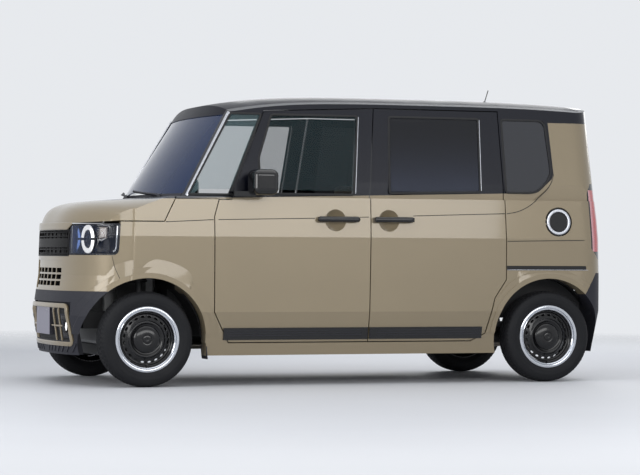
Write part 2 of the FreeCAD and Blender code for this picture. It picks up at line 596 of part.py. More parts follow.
# tailgate hinges on the roof's rear edge: the gate's barrel beside the roof's, on one line
mate_side = s.barrel_side + s.barrel_long + s.seat_gap
gate_barrel = cross_barrel(s.barrel_radius, s.gate_hinge_x, s.barrel_side, s.gate_axis,
                           s.barrel_long).fuse(
    block(s.gate_hinge_x - s.barrel_lug, s.gate_hinge_x - half_gap, s.barrel_side,
          s.barrel_side + s.barrel_long, s.gate_axis - s.barrel_sink, s.gate_axis))
roof_barrel = cross_barrel(s.barrel_radius, s.gate_hinge_x, mate_side, s.gate_axis,
                           s.barrel_long).fuse(
    block(s.gate_hinge_x + half_gap, s.gate_hinge_x + s.barrel_lug, mate_side,
          mate_side + s.barrel_long, s.gate_axis - s.barrel_sink, s.gate_axis))
# each barrel turns in a round pocket of the other skin
gate_barrel_room = cross_barrel(s.barrel_radius + s.running_gap, s.gate_hinge_x,
                                s.barrel_side - s.running_gap, s.gate_axis,
                                s.barrel_long + s.running_gap + s.seat_gap)
roof_barrel_room = cross_barrel(s.barrel_radius + s.running_gap, s.gate_hinge_x,
                                mate_side - s.seat_gap, s.gate_axis,
                                s.barrel_long + s.running_gap + s.seat_gap)
cowl_arc = Part.makeCylinder(s.cowl_radius, sky, Vector(s.bonnet_rear_centre - s.cowl_radius, 0, 0))
cowl_block = block(s.pillar_foot_x - s.overrun, half_length, -s.cowl_half, s.cowl_half,
                   s.bonnet_shut, sky).cut(screen_hole)
cowl_zone = cowl_block.common(block(0, half_length, -reach, reach, ground, s.screen_low))
bonnet_space = side_prism(region(bonnet_outline, half_gap), -reach, reach).cut(
    block(0, s.pillar_seat_x, -reach, reach, ground, sky))
side_panel = shell.common(left_half).cut(lower_front)
for tool in (side_cut(front_door_outline, half_gap), side_cut(slide_outline, half_gap),
             side_cut(quarter_outline, 0), side_cut(fly_outline, 0), screen_hole, roof_zone,
             gate_zone, cowl_zone, bonnet_space, side_cut(tail_lamp_outline, fit),
             side_cut(rear_bumper_outline, fit), arches):
    side_panel = side_panel.cut(tool)
rear_lip = rear_lip.cut(side_cut(slide_outline, half_gap)).cut(side_cut(rear_bumper_outline, fit))
rail_groove = block(s.slide_rail_rear, s.slide_rear - half_gap, half_width - s.slide_rail_deep,
                    reach, s.slide_rail_low, s.slide_rail_high)
side_panel = side_panel.fuse(rear_lip).cut(rail_groove)


# fuel filler: a round hole in the left rear quarter with a bowl, a neck and a hinged lid
def lid_disc(radius, y0, y1):
    return Part.makeCylinder(radius, y1 - y0, Vector(s.lid_x, y0, s.lid_height), Vector(0, 1, 0))


bowl_floor = half_width - s.lid_bowl_deep
lid_hole = lid_disc(s.lid_radius + s.lid_gap, bowl_floor, reach)
fuel_lid = shell.common(lid_disc(s.lid_radius, half_width - s.lid_wall, reach))
bowl = lid_disc(s.lid_radius + s.lid_gap + s.neck_wall, bowl_floor - s.neck_wall, half_width - s.lid_wall)
bowl = bowl.cut(lid_disc(s.lid_radius + s.lid_gap, bowl_floor, half_width))
neck = lid_disc(s.neck_radius, bowl_floor, bowl_floor + s.neck_tall)
lid_axis_x = s.lid_x + s.lid_radius - s.lid_axis_back
lid_axis_low = Vector(lid_axis_x, flank_side(s.shoulder_height) - s.lid_axis_in,
                      s.shoulder_height)
lid_axis_high = Vector(lid_axis_x, flank_side(s.belt_height) - s.lid_axis_in, s.belt_height)
lid_axis = (lid_axis_high - lid_axis_low).normalize()


def on_lid_axis(height):
    return lid_axis_low + lid_axis * ((height - s.shoulder_height) / lid_axis.z)


def lid_barrel(low, high, slack=0.0):
    start, end = on_lid_axis(low), on_lid_axis(high)
    return Part.makeCylinder(s.lid_barrel + slack, (end - start).Length, start, lid_axis)


def lid_lug(front, rear, low, high):
    # a leaf from a barrel to what carries it
    outside = on_lid_axis((low + high) / 2).y
    return block(rear, front, outside - 2 * s.lid_barrel, outside, low, high)


lid_room = 4 * s.lid_barrel_half
fuel_lid = fuel_lid.cut(lid_barrel(s.lid_height - lid_room, s.lid_height + lid_room,
                                   s.lid_pocket))
fuel_lid = fuel_lid.fuse(lid_barrel(s.lid_height - s.lid_barrel_half,
                                    s.lid_height + s.lid_barrel_half)).fuse(
    lid_lug(lid_axis_x, lid_axis_x - 4 * s.lid_barrel, s.lid_height - s.lid_barrel_half,
            s.lid_height + s.lid_barrel_half))
side_left = side_panel.cut(lid_hole).fuse(bowl).fuse(neck)
for sign in (-1, 1):
    near = s.lid_height + sign * (s.lid_barrel_half + s.seat_gap)
    far = near + sign * s.lid_barrel_half
    low, high = min(near, far), max(near, far)
    side_left = side_left.fuse(lid_barrel(low, high)).fuse(
        lid_lug(lid_axis_x + 2 * s.lid_gap, lid_axis_x + s.lid_axis_back + s.running_gap,
                low, high))
keep("side_panel_left", clean(side_left))
keep("side_panel_right", clean(mirrored(side_panel)))
keep("fuel_lid", clean(fuel_lid))

# roof skin between the rails, from the windscreen to the tailgate
roof_skin = shell.common(block(s.gate_hinge_x + half_gap, half_length, -s.roof_seam, s.roof_seam,
                               s.roof_cut, sky))
roof_skin = roof_skin.cut(screen_hole).cut(both_sides(gate_barrel_room))
roof_skin = roof_skin.fuse(both_sides(roof_barrel))
keep("roof_panel", clean(roof_skin))

# front wings
wing = shell.common(side_cut(fender_outline, -fit, s.wing_inner)).cut(arches)
wing = wing.common(left_half).cut(side_cut(front_door_outline, half_gap))
wing = wing.cut(block(0, half_length, 0, s.cowl_half, s.cowl_low - s.seat_gap, sky))
wing_barrel = cross_barrel(s.bonnet_barrel, s.bonnet_axis_x,
                           s.bonnet_barrel_side + s.bonnet_barrel_long + s.seat_gap,
                           s.bonnet_axis, s.bonnet_barrel_long)
barrel_pocket = block(s.bonnet_axis_x - s.bonnet_barrel - s.running_gap, half_length, 0,
                      s.bonnet_barrel_side + s.bonnet_barrel_long + s.seat_gap,
                      s.bonnet_axis - s.bonnet_barrel - s.running_gap, sky)
wing_lug = block(s.bonnet_axis_x - s.bonnet_barrel, s.bonnet_axis_x,
                 s.bonnet_barrel_side + s.bonnet_barrel_long + s.seat_gap,
                 s.bonnet_barrel_side + 2 * s.bonnet_barrel_long + s.seat_gap,
                 s.bonnet_axis - s.overrun, s.bonnet_axis)
wing = wing.cut(barrel_pocket).fuse(wing_barrel).fuse(wing_lug)
wing = wing.fuse(front_lip.common(side_cut(fender_outline, -fit)).cut(
    side_cut(front_door_outline, half_gap)))
for part in hinges:
    wing = wing.fuse(part)
keep("fender_left", clean(wing))
keep("fender_right", clean(mirrored(wing)))

# bonnet
bonnet_zone = side_prism(region(bonnet_outline, -s.shut_gap), -reach, reach)
bonnet = shell.common(bonnet_zone).cut(cowl_arc)
bonnet = bonnet.common(block(s.firewall_x + s.firewall_wall, nose_end, -reach, reach, ground, sky))
bonnet_barrel = cross_barrel(s.bonnet_barrel, s.bonnet_axis_x, s.bonnet_barrel_side,
                             s.bonnet_axis, s.bonnet_barrel_long).fuse(
    block(s.bonnet_axis_x, s.bonnet_axis_x + s.bonnet_lug, s.bonnet_barrel_side,
          s.bonnet_barrel_side + s.bonnet_barrel_long, s.bonnet_axis - s.bonnet_barrel,
          s.bonnet_axis))
mate_room = cross_barrel(s.bonnet_barrel + s.running_gap, s.bonnet_axis_x,
                         s.bonnet_barrel_side + s.bonnet_barrel_long, s.bonnet_axis,
                         s.bonnet_barrel_long + 2 * s.running_gap)
bonnet = bonnet.fuse(both_sides(bonnet_barrel)).cut(both_sides(mate_room))
keep("bonnet", clean(bonnet))

# cowl between the bonnet and the windscreen
cowl_front_arc = Part.makeCylinder(s.cowl_radius - s.shut_gap, sky,
                                   Vector(s.bonnet_rear_centre - s.cowl_radius, 0, 0))
cowl = shell.common(block(s.firewall_x, half_length, -s.cowl_half + s.shut_gap,
                          s.cowl_half - s.shut_gap, s.cowl_low, s.screen_low))
cowl = cowl.common(cowl_front_arc).cut(screen_hole)
keep("cowl", clean(cowl))

# nose: lamps, grilles and bumpers, all cut from one thick skin
nose_block = block(front_axle, nose_end, -reach, reach, ground, s.bonnet_shut)
nose_hollow = tub(s.bumper_wall, s.bumper_wall).common(
    block(front_axle - s.overrun, nose_end, -reach, reach, ground, s.bonnet_shut))
nose = envelope.common(nose_block).cut(nose_hollow)
lamp_outline = [(nose_end, s.lamp_high), (nose_end, s.lamp_low)] + lamp_edge[::-1]
lamp = nose.common(side_prism(region(lamp_outline, -fit), s.lamp_inner + fit, reach))
keep("headlamps", both_sides(clean(lamp)))

grille_half = s.lamp_inner - fit
grille_low = s.lamp_low + fit
grille_top = s.bonnet_shut - s.nose_dip - fit
grille = nose.common(block(front_axle, nose_end, -grille_half, grille_half, grille_low,
                           grille_top))


def opening_grid(half, low, high, rows, columns, bar, x0, x1):
    # a grid of openings with bars between them, as one compound
    wide = (2 * half - bar * (columns + 1)) / columns
    tall = (high - low - bar * (rows + 1)) / rows
    holes = []
    for row in range(rows):
        for column in range(columns):
            y = -half + bar + column * (wide + bar)
            z = low + bar + row * (tall + bar)
            holes.append(block(x0, x1, y, y + wide, z, z + tall))
    return Part.makeCompound(holes)


slots = opening_grid(grille_half, grille_low, grille_top,
                     int(s.grille_rows), int(s.grille_columns), s.grille_bar,
                     half_length - s.grille_deep, nose_end)
keep("upper_grille", clean(grille.cut(slots)))

def nose_layer(inset, thick, zone):
    # a layer of the nose of some thickness, a little below its surface, inside a zone
    outer = tub(inset, inset).common(zone)
    return outer.cut(tub(inset + thick, inset + thick))


def window(half, low, high):
    return block(front_axle, nose_end, -half, half, low, high)


bumper_outline = [(s.lamp_outer_low, s.lamp_low), (nose_end, s.lamp_low),
                  (nose_end, s.bumper_split), (s.bumper_split_x, s.bumper_split),
                  (s.bumper_seam_low, s.bumper_seam_height)]
bumper = nose.common(side_prism(region(bumper_outline, -fit), -reach, reach)).cut(arches)
mouth = opening_grid(s.mouth_half, s.mouth_low, s.mouth_high, int(s.mouth_rows),
                     int(s.mouth_columns), s.mouth_bar, front_axle, nose_end)
bumper = bumper.fuse(both_sides(front_lip.common(side_cut(bumper_outline, -fit))))
mouth_room = nose_layer(-s.overrun / 2, s.overrun / 2 + s.mouth_set,
                        window(s.mouth_half + s.mouth_bar, s.mouth_low - s.mouth_bar / 2,
                               s.mouth_high + s.mouth_brow))
keep("front_bumper", clean(bumper.cut(mouth_room).cut(mouth)))

skirt = nose.common(block(front_axle, nose_end, -reach, reach, s.sill_bottom,
                          s.bumper_split - fit)).cut(arches)
skirt = skirt.fuse(both_sides(front_lip.common(
    block(s.bumper_split_x, nose_end, 0, reach, s.arch_lip_low, s.bumper_split - fit))))


insert_zone = window(s.frame_half, s.frame_low, s.frame_high)
insert_hole = window(s.frame_half - s.frame_bar, s.frame_low + s.frame_bar,
                     s.frame_high - s.frame_bar)
insert_room = nose_layer(-s.overrun / 2, s.overrun / 2 + s.fog_deep, insert_zone)
pods = both_sides(nose_layer(s.pod_set, s.overrun / 2, block(
    front_axle, nose_end, s.fog_side - s.pod_half, s.fog_side + s.pod_half,
    s.fog_height - s.pod_tall, s.fog_height + s.pod_tall)))
plate_low = s.plate_height - s.plate_tall / 2
plate_high = s.plate_height + s.plate_tall / 2
plate_room = block(s.plate_seat_x, nose_end, -s.plate_wide / 2 - s.plate_edge,
                   s.plate_wide / 2 + s.plate_edge, plate_low - s.plate_edge,
                   plate_high + s.plate_edge)
plate_pad = block(s.plate_seat_x - s.boss_deep, s.plate_seat_x + s.plate_pad,
                  -s.plate_wide / 2, s.plate_wide / 2, plate_low, plate_high)


def bolt_holes(x, height):
    # the two holes of a number plate, along the car
    holes = [Part.makeCylinder(s.bolt_radius, 2 * s.overrun, Vector(x - s.overrun, y, height),
                               Vector(1, 0, 0)) for y in (-s.plate_bolts / 2, s.plate_bolts / 2)]
    return Part.makeCompound(holes)


front_bolts = bolt_holes(s.plate_seat_x, s.plate_height + s.plate_bolt_up)
skirt = skirt.cut(insert_room).fuse(pods).cut(plate_room).fuse(plate_pad).cut(front_bolts)
fog_tube = both_sides(Part.makeCylinder(
    s.fog_radius, s.frame_reach + s.overrun,
    Vector(half_length - s.frame_reach, s.fog_side, s.fog_height), Vector(1, 0, 0)))
fog_room = nose_layer(-s.overrun / 2, s.overrun / 2 + s.pod_deep, fog_tube)
keep("bumper_skirt", clean(skirt.cut(fog_room)))
fog_body = nose_layer(s.pod_set - s.seat_gap, s.pod_deep - s.pod_set, fog_tube)
keep("fog_lamps", clean(fog_body))
insert = nose_layer(s.insert_set, s.fog_deep - s.insert_set - s.seat_gap, insert_zone)
bars = [window(s.frame_half, s.fog_height - s.grille_bar / 2, s.fog_height + s.grille_bar / 2)]
for y in (s.insert_bar_side, s.insert_bar_far):
    for sign in (-1, 1):
        bars.append(block(front_axle, nose_end, sign * y - s.grille_bar / 2,
                          sign * y + s.grille_bar / 2, s.frame_low, s.frame_high))
insert = insert.cut(insert_hole).fuse(insert.common(Part.makeCompound(bars)))
room_for_pods = both_sides(block(
    front_axle, nose_end, s.fog_side - s.pod_half - s.seat_gap,
    s.fog_side + s.pod_half + s.seat_gap, s.fog_height - s.pod_tall - s.seat_gap,
    s.fog_height + s.pod_tall + s.seat_gap))
insert = insert.cut(room_for_pods).cut(block(
    front_axle, nose_end, -s.plate_wide / 2 - s.plate_edge, s.plate_wide / 2 + s.plate_edge,
    plate_low - s.plate_edge, plate_high + s.plate_edge))
keep("bumper_insert", clean(insert))
front_plate = block(s.plate_seat_x + s.plate_pad + s.seat_gap,
                    s.plate_seat_x + s.plate_pad + s.seat_gap + s.plate_thick,
                    -s.plate_wide / 2, s.plate_wide / 2, plate_low, plate_high)
keep("front_plate", clean(front_plate.cut(front_bolts)))

# tail: lamps, bumper and lifting gate
tail_zone = block(tail_end, s.gate_hinge_x + s.overrun, -reach, reach, ground, sky)
lamp_zone = side_prism(region(tail_lamp_outline, -fit), 0, reach)
tail_lamp = shell.common(lamp_zone).cut(gate_zone)
keep("tail_lamps", both_sides(clean(tail_lamp)))
rear_half = shell.common(side_prism(region(rear_bumper_outline, -fit), 0, reach))
rear_half = rear_half.cut(block(tail_end, 0, 0, s.gate_half + half_gap,
                                s.gate_low - half_gap, sky)).cut(arches)
keep("rear_bumper", whole(rear_half))
gate = shell.common(front_prism(region(gate_outline, -half_gap - s.gate_slack), tail_end,
                                s.gate_hinge_x - half_gap))
gate_hole = front_prism(gate_glass_outline, tail_end, s.gate_hinge_x)
rear_low = s.rear_plate_height - s.plate_tall / 2
rear_high = s.rear_plate_height + s.plate_tall / 2
rear_room = block(tail_end, s.rear_seat_x, -s.plate_wide / 2 - s.rear_edge,
                  s.plate_wide / 2 + s.rear_edge, rear_low - s.rear_edge,
                  rear_high + s.rear_edge)
rear_bolts = bolt_holes(s.rear_seat_x, s.rear_plate_height + s.plate_bolt_up)
gate = gate.cut(gate_hole).cut(both_sides(roof_barrel_room))
gate = gate.fuse(both_sides(gate_barrel)).cut(rear_room)
keep("tailgate", clean(gate.cut(rear_bolts)))
rear_plate = block(s.rear_seat_x - s.seat_gap - s.plate_thick, s.rear_seat_x - s.seat_gap,
                   -s.plate_wide / 2, s.plate_wide / 2, rear_low, rear_high)
keep("rear_plate", clean(rear_plate.cut(rear_bolts)))
gate_glass = glazing.common(front_prism(region(gate_glass_outline, -s.seat_gap), tail_end,
                                        s.gate_hinge_x))
keep("tailgate_glass", clean(gate_glass))


# every length below is bound to the sheet by its words
def words(text):
    return re.sub(r"[a-z][a-z_]+", lambda found: "Sizes." + found.group(0), text)


def bind(item, **links):
    for path, text in links.items():
        item.setExpression(path.replace("__", "."), words(text))
    return item


def place(item, x="0", y="0", z="0"):
    item.setExpression("Placement.Base.x", words(x))
    item.setExpression("Placement.Base.y", words(y))
    item.setExpression("Placement.Base.z", words(z))
    return item


def origin_plane(body, role):
    return [plane for plane in body.Origin.OriginFeatures if plane.Role == role][0]


def outline_sketch(body, role, corners):
    # a closed outline whose corners follow the sheet
    sketch = body.newObject("Sketcher::SketchObject", body.Label + "_outline")
    sketch.AttachmentSupport = (origin_plane(body, role), [""])
    sketch.MapMode = "FlatFace"
    spots = [[float(sheet.evalExpression(text)) for text in corner] for corner in corners]
    count = len(corners)
    for index in range(count):
        a, b = spots[index], spots[(index + 1) % count]
        sketch.addGeometry(Part.LineSegment(Vector(a[0], a[1], 0), Vector(b[0], b[1], 0)))
    for index in range(count):
        after = (index + 1) % count
        sketch.addConstraint(Sketcher.Constraint("Coincident", index, 2, after, 1))
    for index, (across, along) in enumerate(corners):
        for kind, text, value in (("DistanceX", across, spots[index][0]),
                                  ("DistanceY", along, spots[index][1])):
            number = sketch.addConstraint(Sketcher.Constraint(kind, -1, 1, index, 1, value))
            name = "%s%d" % (kind[-1].lower(), index)
            sketch.renameConstraint(number, name)
            sketch.setExpression("Constraints." + name, words(text))
    return sketch


def revolved(label, corners):
    # a body turned about its own Y axis from an outline of radius and side place
    body = doc.addObject("PartDesign::Body", label)
    body.Label = label
    sketch = outline_sketch(body, "XY_Plane", corners)
    turn = body.newObject("PartDesign::Revolution", label + "_turn")
    turn.Profile = sketch
    turn.ReferenceAxis = (sketch, ["V_Axis"])
    turn.Angle = 360
    return body


tyre_half, lip_side = "tyre_width / 2", "rim_half"
tyre_corners = [("rim_radius + seat_gap", "-rim_half + rim_lip + seat_gap"),
                ("rim_radius + rim_lip_height + seat_gap", "-rim_half + rim_lip + seat_gap"),
                ("rim_radius + rim_lip_height + seat_gap", "-rim_half"),
                ("rim_radius + tyre_bulge", "-tyre_width / 2"),
                ("tyre_radius - tyre_shoulder", "-tyre_width / 2 + tyre_wall_in"),
                ("tyre_radius", "-tyre_width / 2 + tyre_shoulder"),
                ("tyre_radius", "tyre_width / 2 - tyre_shoulder"),
                ("tyre_radius - tyre_shoulder", "tyre_width / 2 - tyre_wall_in"),
                ("rim_radius + tyre_bulge", "tyre_width / 2"),
                ("rim_radius + rim_lip_height + seat_gap", "rim_half"),
                ("rim_radius + rim_lip_height + seat_gap", "rim_half - rim_lip - seat_gap"),
                ("rim_radius + seat_gap", "rim_half - rim_lip - seat_gap")]
rim_corners = [("0", "dish_place"), ("hub_radius", "dish_place"),
               ("wheel_hole_circle", "face_place"), ("rim_radius - rim_wall", "well_place"),
               ("rim_radius - rim_wall", "-rim_half"), ("rim_radius + rim_lip_height", "-rim_half"),
               ("rim_radius + rim_lip_height", "-rim_half + rim_lip"),
               ("rim_radius", "-rim_half + rim_lip"), ("rim_radius", "rim_half - rim_lip"),
               ("rim_radius + rim_lip_height", "rim_half - rim_lip"),
               ("rim_radius + rim_lip_height", "rim_half"),
               ("rim_radius - rim_wall", "rim_half"),
               ("rim_radius - rim_wall", "well_place + rim_wall"),
               ("wheel_hole_circle", "face_place + rim_wall"),
               ("hub_radius", "dish_place + rim_wall"),
               ("cap_radius", "dish_place + rim_wall"),
               ("cap_radius - cap_round", "dish_place + rim_wall + cap_height"),
               ("0", "dish_place + rim_wall + cap_height + cap_round")]
axles = {"front": "body_length / 2 - front_overhang",
         "rear": "body_length / 2 - front_overhang - wheelbase"}
for end, axle in axles.items():
    for side, sign in (("left", 1), ("right", -1)):
        tyre = revolved("tyre_%s_%s" % (end, side), tyre_corners)
        place(tyre, axle, "%d * track / 2" % sign, "tyre_radius")
        turned = [(radius, "%d * (%s)" % (sign, across)) for radius, across in rim_corners]
        rim = revolved("rim_%s_%s" % (end, side), turned)
        place(rim, axle, "%d * track / 2" % sign, "tyre_radius")


# front suspension: everything that steers turns about the line from the lower ball joint
# to the top of the strut, so the knuckle and the strut share it
ball = Vector(front_axle, s.ball_side, s.ball_height)
strut_top = Vector(front_axle, s.strut_top_side, s.strut_top_height)
king = (strut_top - ball).normalize()


def on_king(height):
    return ball + king * ((height - s.ball_height) / king.z)


def along_king(radius, low, high):
    start, end = on_king(low), on_king(high)
    return Part.makeCylinder(radius, (end - start).Length, start, king)


def sideways(radius, inner, outer, x, z):
    return Part.makeCylinder(radius, outer - inner, Vector(x, inner, z), Vector(0, 1, 0))


wheel_back = wheel_side + s.dish_place - s.running_gap
disc_side = wheel_side - s.disc_inset
upright = along_king(s.knuckle_radius, s.ball_height + s.running_gap, s.knuckle_top)
hub = sideways(s.hub_radius, s.hub_inner, wheel_back, front_axle, wheel_height)
disc = sideways(s.disc_radius, disc_side, disc_side + s.disc_wall, front_axle, wheel_height)
knuckle = upright.fuse(hub).fuse(disc)
keep("knuckle_left", clean(knuckle))
keep("knuckle_right", clean(mirrored(knuckle)))

strut = along_king(s.strut_radius, s.knuckle_top + s.running_gap, s.spring_high)
cup_low = along_king(s.spring_radius, s.spring_low - s.cup_wall, s.spring_low)
coil_wrap = along_king(s.spring_radius - s.cup_wall, s.spring_low, s.spring_high)
struts = strut.fuse(cup_low).fuse(coil_wrap).common(
    block(0, half_length, 0, half_width, ground, s.spring_high - s.seat_gap))
keep("front_struts", both_sides(clean(struts)))

arm_top = s.ball_height - s.ball_proud
arm_tip = s.ball_side + s.knuckle_radius
arm_points = [(front_axle + s.arm_half, s.ball_side - s.arm_half),
              (front_axle + s.knuckle_radius, arm_tip), (front_axle - s.knuckle_radius, arm_tip),
              (front_axle - s.arm_half, s.ball_side - s.arm_half),
              (front_axle - s.arm_root_half, s.arm_inner_side),
              (front_axle + s.arm_root_half, s.arm_inner_side)]
lower_arm = plan_prism(arm_points, arm_top - s.arm_thick, arm_top).fuse(
    along_king(s.knuckle_radius, arm_top - s.arm_thick / 2, s.ball_height))
crossmember = block(front_axle - s.crossmember_long, front_axle + s.crossmember_long,
                    -s.crossmember_half, s.crossmember_half, s.crossmember_low,
                    s.crossmember_low + s.crossmember_thick)
leg = block(front_axle - s.leg_half, front_axle + s.leg_half, s.front_rail_side,
            s.crossmember_half, s.crossmember_low, s.rail_low - s.seat_gap)
half_frame = lower_arm.fuse(leg)
subframe = crossmember.fuse(half_frame).fuse(mirrored(half_frame))
keep("front_subframe", clean(subframe))

# rear axle: a torsion beam with trailing arms, bushes and wheel stubs
beam = sideways(s.beam_radius, -s.arm_side, s.arm_side, rear_axle + s.beam_ahead, s.beam_height)
pivot_height = s.floor_top - s.floor_thick - s.bush_radius - s.seat_gap
arm_start = Vector(s.arm_pivot_x, s.arm_side, pivot_height)
arm_end = Vector(rear_axle, s.arm_side, wheel_height)
trailing = Part.makeCylinder(s.arm_radius, (arm_end - arm_start).Length, arm_start,
                             arm_end - arm_start)
bush = sideways(s.bush_radius, s.arm_side - s.bush_wide / 2, s.arm_side + s.bush_wide / 2,
                s.arm_pivot_x, pivot_height)
stub = sideways(s.stub_radius, s.stub_inner, wheel_back, rear_axle, wheel_height)
rear_half_axle = trailing.fuse(bush).fuse(stub)
keep("rear_axle", clean(beam.fuse(rear_half_axle).fuse(mirrored(rear_half_axle))))

# platform: floor, inner sills, firewall, raised rear floor and the wheel housings
floor_half = half_width - s.door_wall - s.sill_tuck
floor_rear = -half_length + s.door_wall + s.tail_low_back + s.shut_gap
floor_low = s.floor_top - s.floor_thick
platform = block(s.rear_floor_x, s.firewall_x, -floor_half, floor_half, floor_low, s.floor_top)
rear_floor = block(floor_rear, s.rear_floor_x, -s.housing_inner, s.housing_inner,
                   s.cargo_step - s.floor_thick, s.cargo_step)
riser = block(s.rear_floor_x - s.floor_thick, s.rear_floor_x, -floor_half, floor_half,
              floor_low, s.cargo_step)
bulkhead = block(s.firewall_x, s.firewall_x + s.firewall_wall, -s.bulkhead_half,
                 s.bulkhead_half, floor_low, s.cowl_low - s.seat_gap)
side_rail = block(-s.rail_reach, s.rail_reach, floor_half - s.rail_wide, floor_half - s.seat_gap,
                  s.sill_bottom, s.floor_top)
front_rail = block(s.firewall_x, half_length - s.bumper_wall - s.rail_end, s.front_rail_side,
                   s.front_rail_side + s.rail_wide, s.rail_low, s.rail_high)
tower_plate = block(front_axle - s.tower_half, front_axle + s.tower_half,
                    s.front_rail_side, s.strut_top_side + s.tower_half, s.spring_high,
                    s.spring_high + s.tower_wall)
tower_web = block(front_axle - s.tower_half, front_axle + s.tower_half, s.front_rail_side,
                  s.front_rail_side + s.tower_wall, s.rail_low, s.spring_high)
housing_room = arch(s.arch_radius, rear_axle, s.housing_inner)
housing_block = arch(s.arch_radius + s.housing_wall, rear_axle, s.housing_inner - s.housing_wall)
housing = housing_block.cut(housing_room).common(
    block(tail_end, 0, 0, floor_half, s.housing_low, sky))
platform = platform.fuse(bulkhead).fuse(rear_floor).fuse(riser)
front_room = arch(s.arch_radius, front_axle, s.arch_inner)
front_block = arch(s.arch_radius + s.housing_wall, front_axle, s.arch_inner - s.housing_wall)
front_housing = front_block.cut(front_room).common(
    block(0, s.firewall_x + s.firewall_wall, 0, floor_half, floor_low, sky)).cut(
    block(s.firewall_x - s.seat_gap, half_length, s.wing_inner - s.seat_gap, reach, ground, sky))
platform = platform.cut(both_sides(housing_block)).cut(both_sides(front_block))
for part in (side_rail, front_rail, tower_plate, tower_web, housing, front_housing):
    platform = platform.fuse(part).fuse(mirrored(part))
platform = platform.common(tub(s.door_wall + s.shut_gap).fuse(
    block(rear_axle, half_length, -reach, reach, ground, sky)))
keep("floor_pan", clean(platform))

# engine with its gearbox as one plain mass, fuel tank and exhaust
engine = Part.makeBox(s.engine_long, s.engine_wide, s.engine_tall,
                      Vector(s.engine_x - s.engine_long / 2, -s.engine_wide / 2,
                             s.crossmember_low + s.crossmember_thick + s.seat_gap))
keep("engine", engine.makeFillet(s.engine_round, engine.Edges))
tank = Part.makeBox(s.tank_long, s.tank_wide, s.floor_top - s.floor_thick - s.tank_low - s.seat_gap,
                    Vector(s.tank_x - s.tank_long / 2, -s.tank_wide / 2, s.tank_low))
keep("fuel_tank", tank.makeFillet(s.tank_round, tank.Edges))
pipe_front = Vector(s.engine_x - s.engine_long / 2 - s.pipe_back, s.pipe_side, s.pipe_height)
pipe_tail = Vector(s.silencer_x, s.pipe_side, s.pipe_height)
port = Vector(s.engine_x - s.engine_long / 2 - s.pipe_radius, s.pipe_side + s.port_in,
              s.pipe_height + s.port_up)
pipe = Part.makeCylinder(s.pipe_radius, (pipe_front - pipe_tail).Length, pipe_tail, Vector(1, 0, 0))
down_pipe = Part.makeCylinder(s.pipe_radius, (port - pipe_front).Length, pipe_front,
                              port - pipe_front)
silencer = sideways(s.silencer_radius, s.pipe_side - s.silencer_past,
                    s.pipe_side - s.silencer_past + s.silencer_long, s.silencer_x,
                    s.pipe_height + s.silencer_up)
exhaust = pipe.fuse(down_pipe).fuse(silencer).fuse(Part.makeSphere(s.pipe_radius, pipe_front))
flange = Part.makeCylinder(s.pipe_radius, s.pipe_radius * 2, port - Vector(s.pipe_radius, 0, 0),
                           Vector(1, 0, 0))
flange = flange.cut(block(s.engine_x - s.engine_long / 2 - s.seat_gap, half_length, -reach,
                          reach, ground, sky))
for x, top in ((s.hanger_front_x, floor_low), (s.hanger_rear_x, floor_low),
               (s.silencer_x, s.cargo_step - s.floor_thick)):
    exhaust = exhaust.fuse(block(x - s.hanger_half, x + s.hanger_half,
                                 s.pipe_side - s.hanger_half, s.pipe_side + s.hanger_half,
                                 s.pipe_height, top - s.seat_gap))
keep("exhaust", clean(exhaust.fuse(flange)))

# seats: plain padded blocks with leaning backs and head rests
seat_foot = s.floor_top + s.seat_gap


def seat(x, y, wide, height):
    cushion = Part.makeBox(s.seat_long, wide, s.seat_thick,
                           Vector(x - s.seat_long / 2, y - wide / 2, height - s.seat_thick))
    cushion = cushion.makeFillet(s.seat_round, cushion.Edges)
    back = Part.makeBox(s.back_thick, wide, s.back_tall,
                        Vector(-s.back_thick, -wide / 2, -s.seat_round))
    back = back.makeFillet(s.seat_round, back.Edges)
    rest = Part.makeBox(s.rest_thick, s.rest_wide, s.rest_tall,
                        Vector(-s.back_thick, -s.rest_wide / 2, s.back_tall - s.rest_sink))
    rest = rest.makeFillet(s.seat_round, rest.Edges)
    upper = back.fuse(rest)
    upper.rotate(Vector(0, 0, 0), Vector(0, -1, 0), s.back_lean)
    upper.translate(Vector(x - s.seat_long / 2 + s.back_thick, y, height - s.seat_round))
    return cushion.fuse(upper)


def seat_plinth(x, y, wide, foot, height):
    return block(x - s.seat_long / 2 + s.seat_round, x + s.seat_long / 2 - s.seat_round,
                 y - wide / 2 + s.seat_round, y + wide / 2 - s.seat_round, foot,
                 height - s.seat_thick + s.seat_round / 2)


front_seat = seat(s.seat_x, s.seat_side, s.seat_wide, s.seat_height).fuse(
    seat_plinth(s.seat_x, s.seat_side, s.seat_wide, seat_foot, s.seat_height))
keep("front_seats", both_sides(clean(front_seat)))
bench = seat(s.bench_x, s.bench_side, s.bench_wide, s.bench_height).fuse(
    seat_plinth(s.bench_x, s.bench_side, s.bench_wide, seat_foot, s.bench_height))
bench = bench.cut(block(tail_end, s.rear_floor_x + s.seat_gap, 0, reach, ground,
                        s.cargo_step + s.seat_gap)).cut(
    arch(s.arch_radius + s.housing_wall + s.seat_gap, rear_axle,
         s.housing_inner - s.housing_wall - s.seat_gap))
keep("rear_seats", both_sides(clean(bench)))

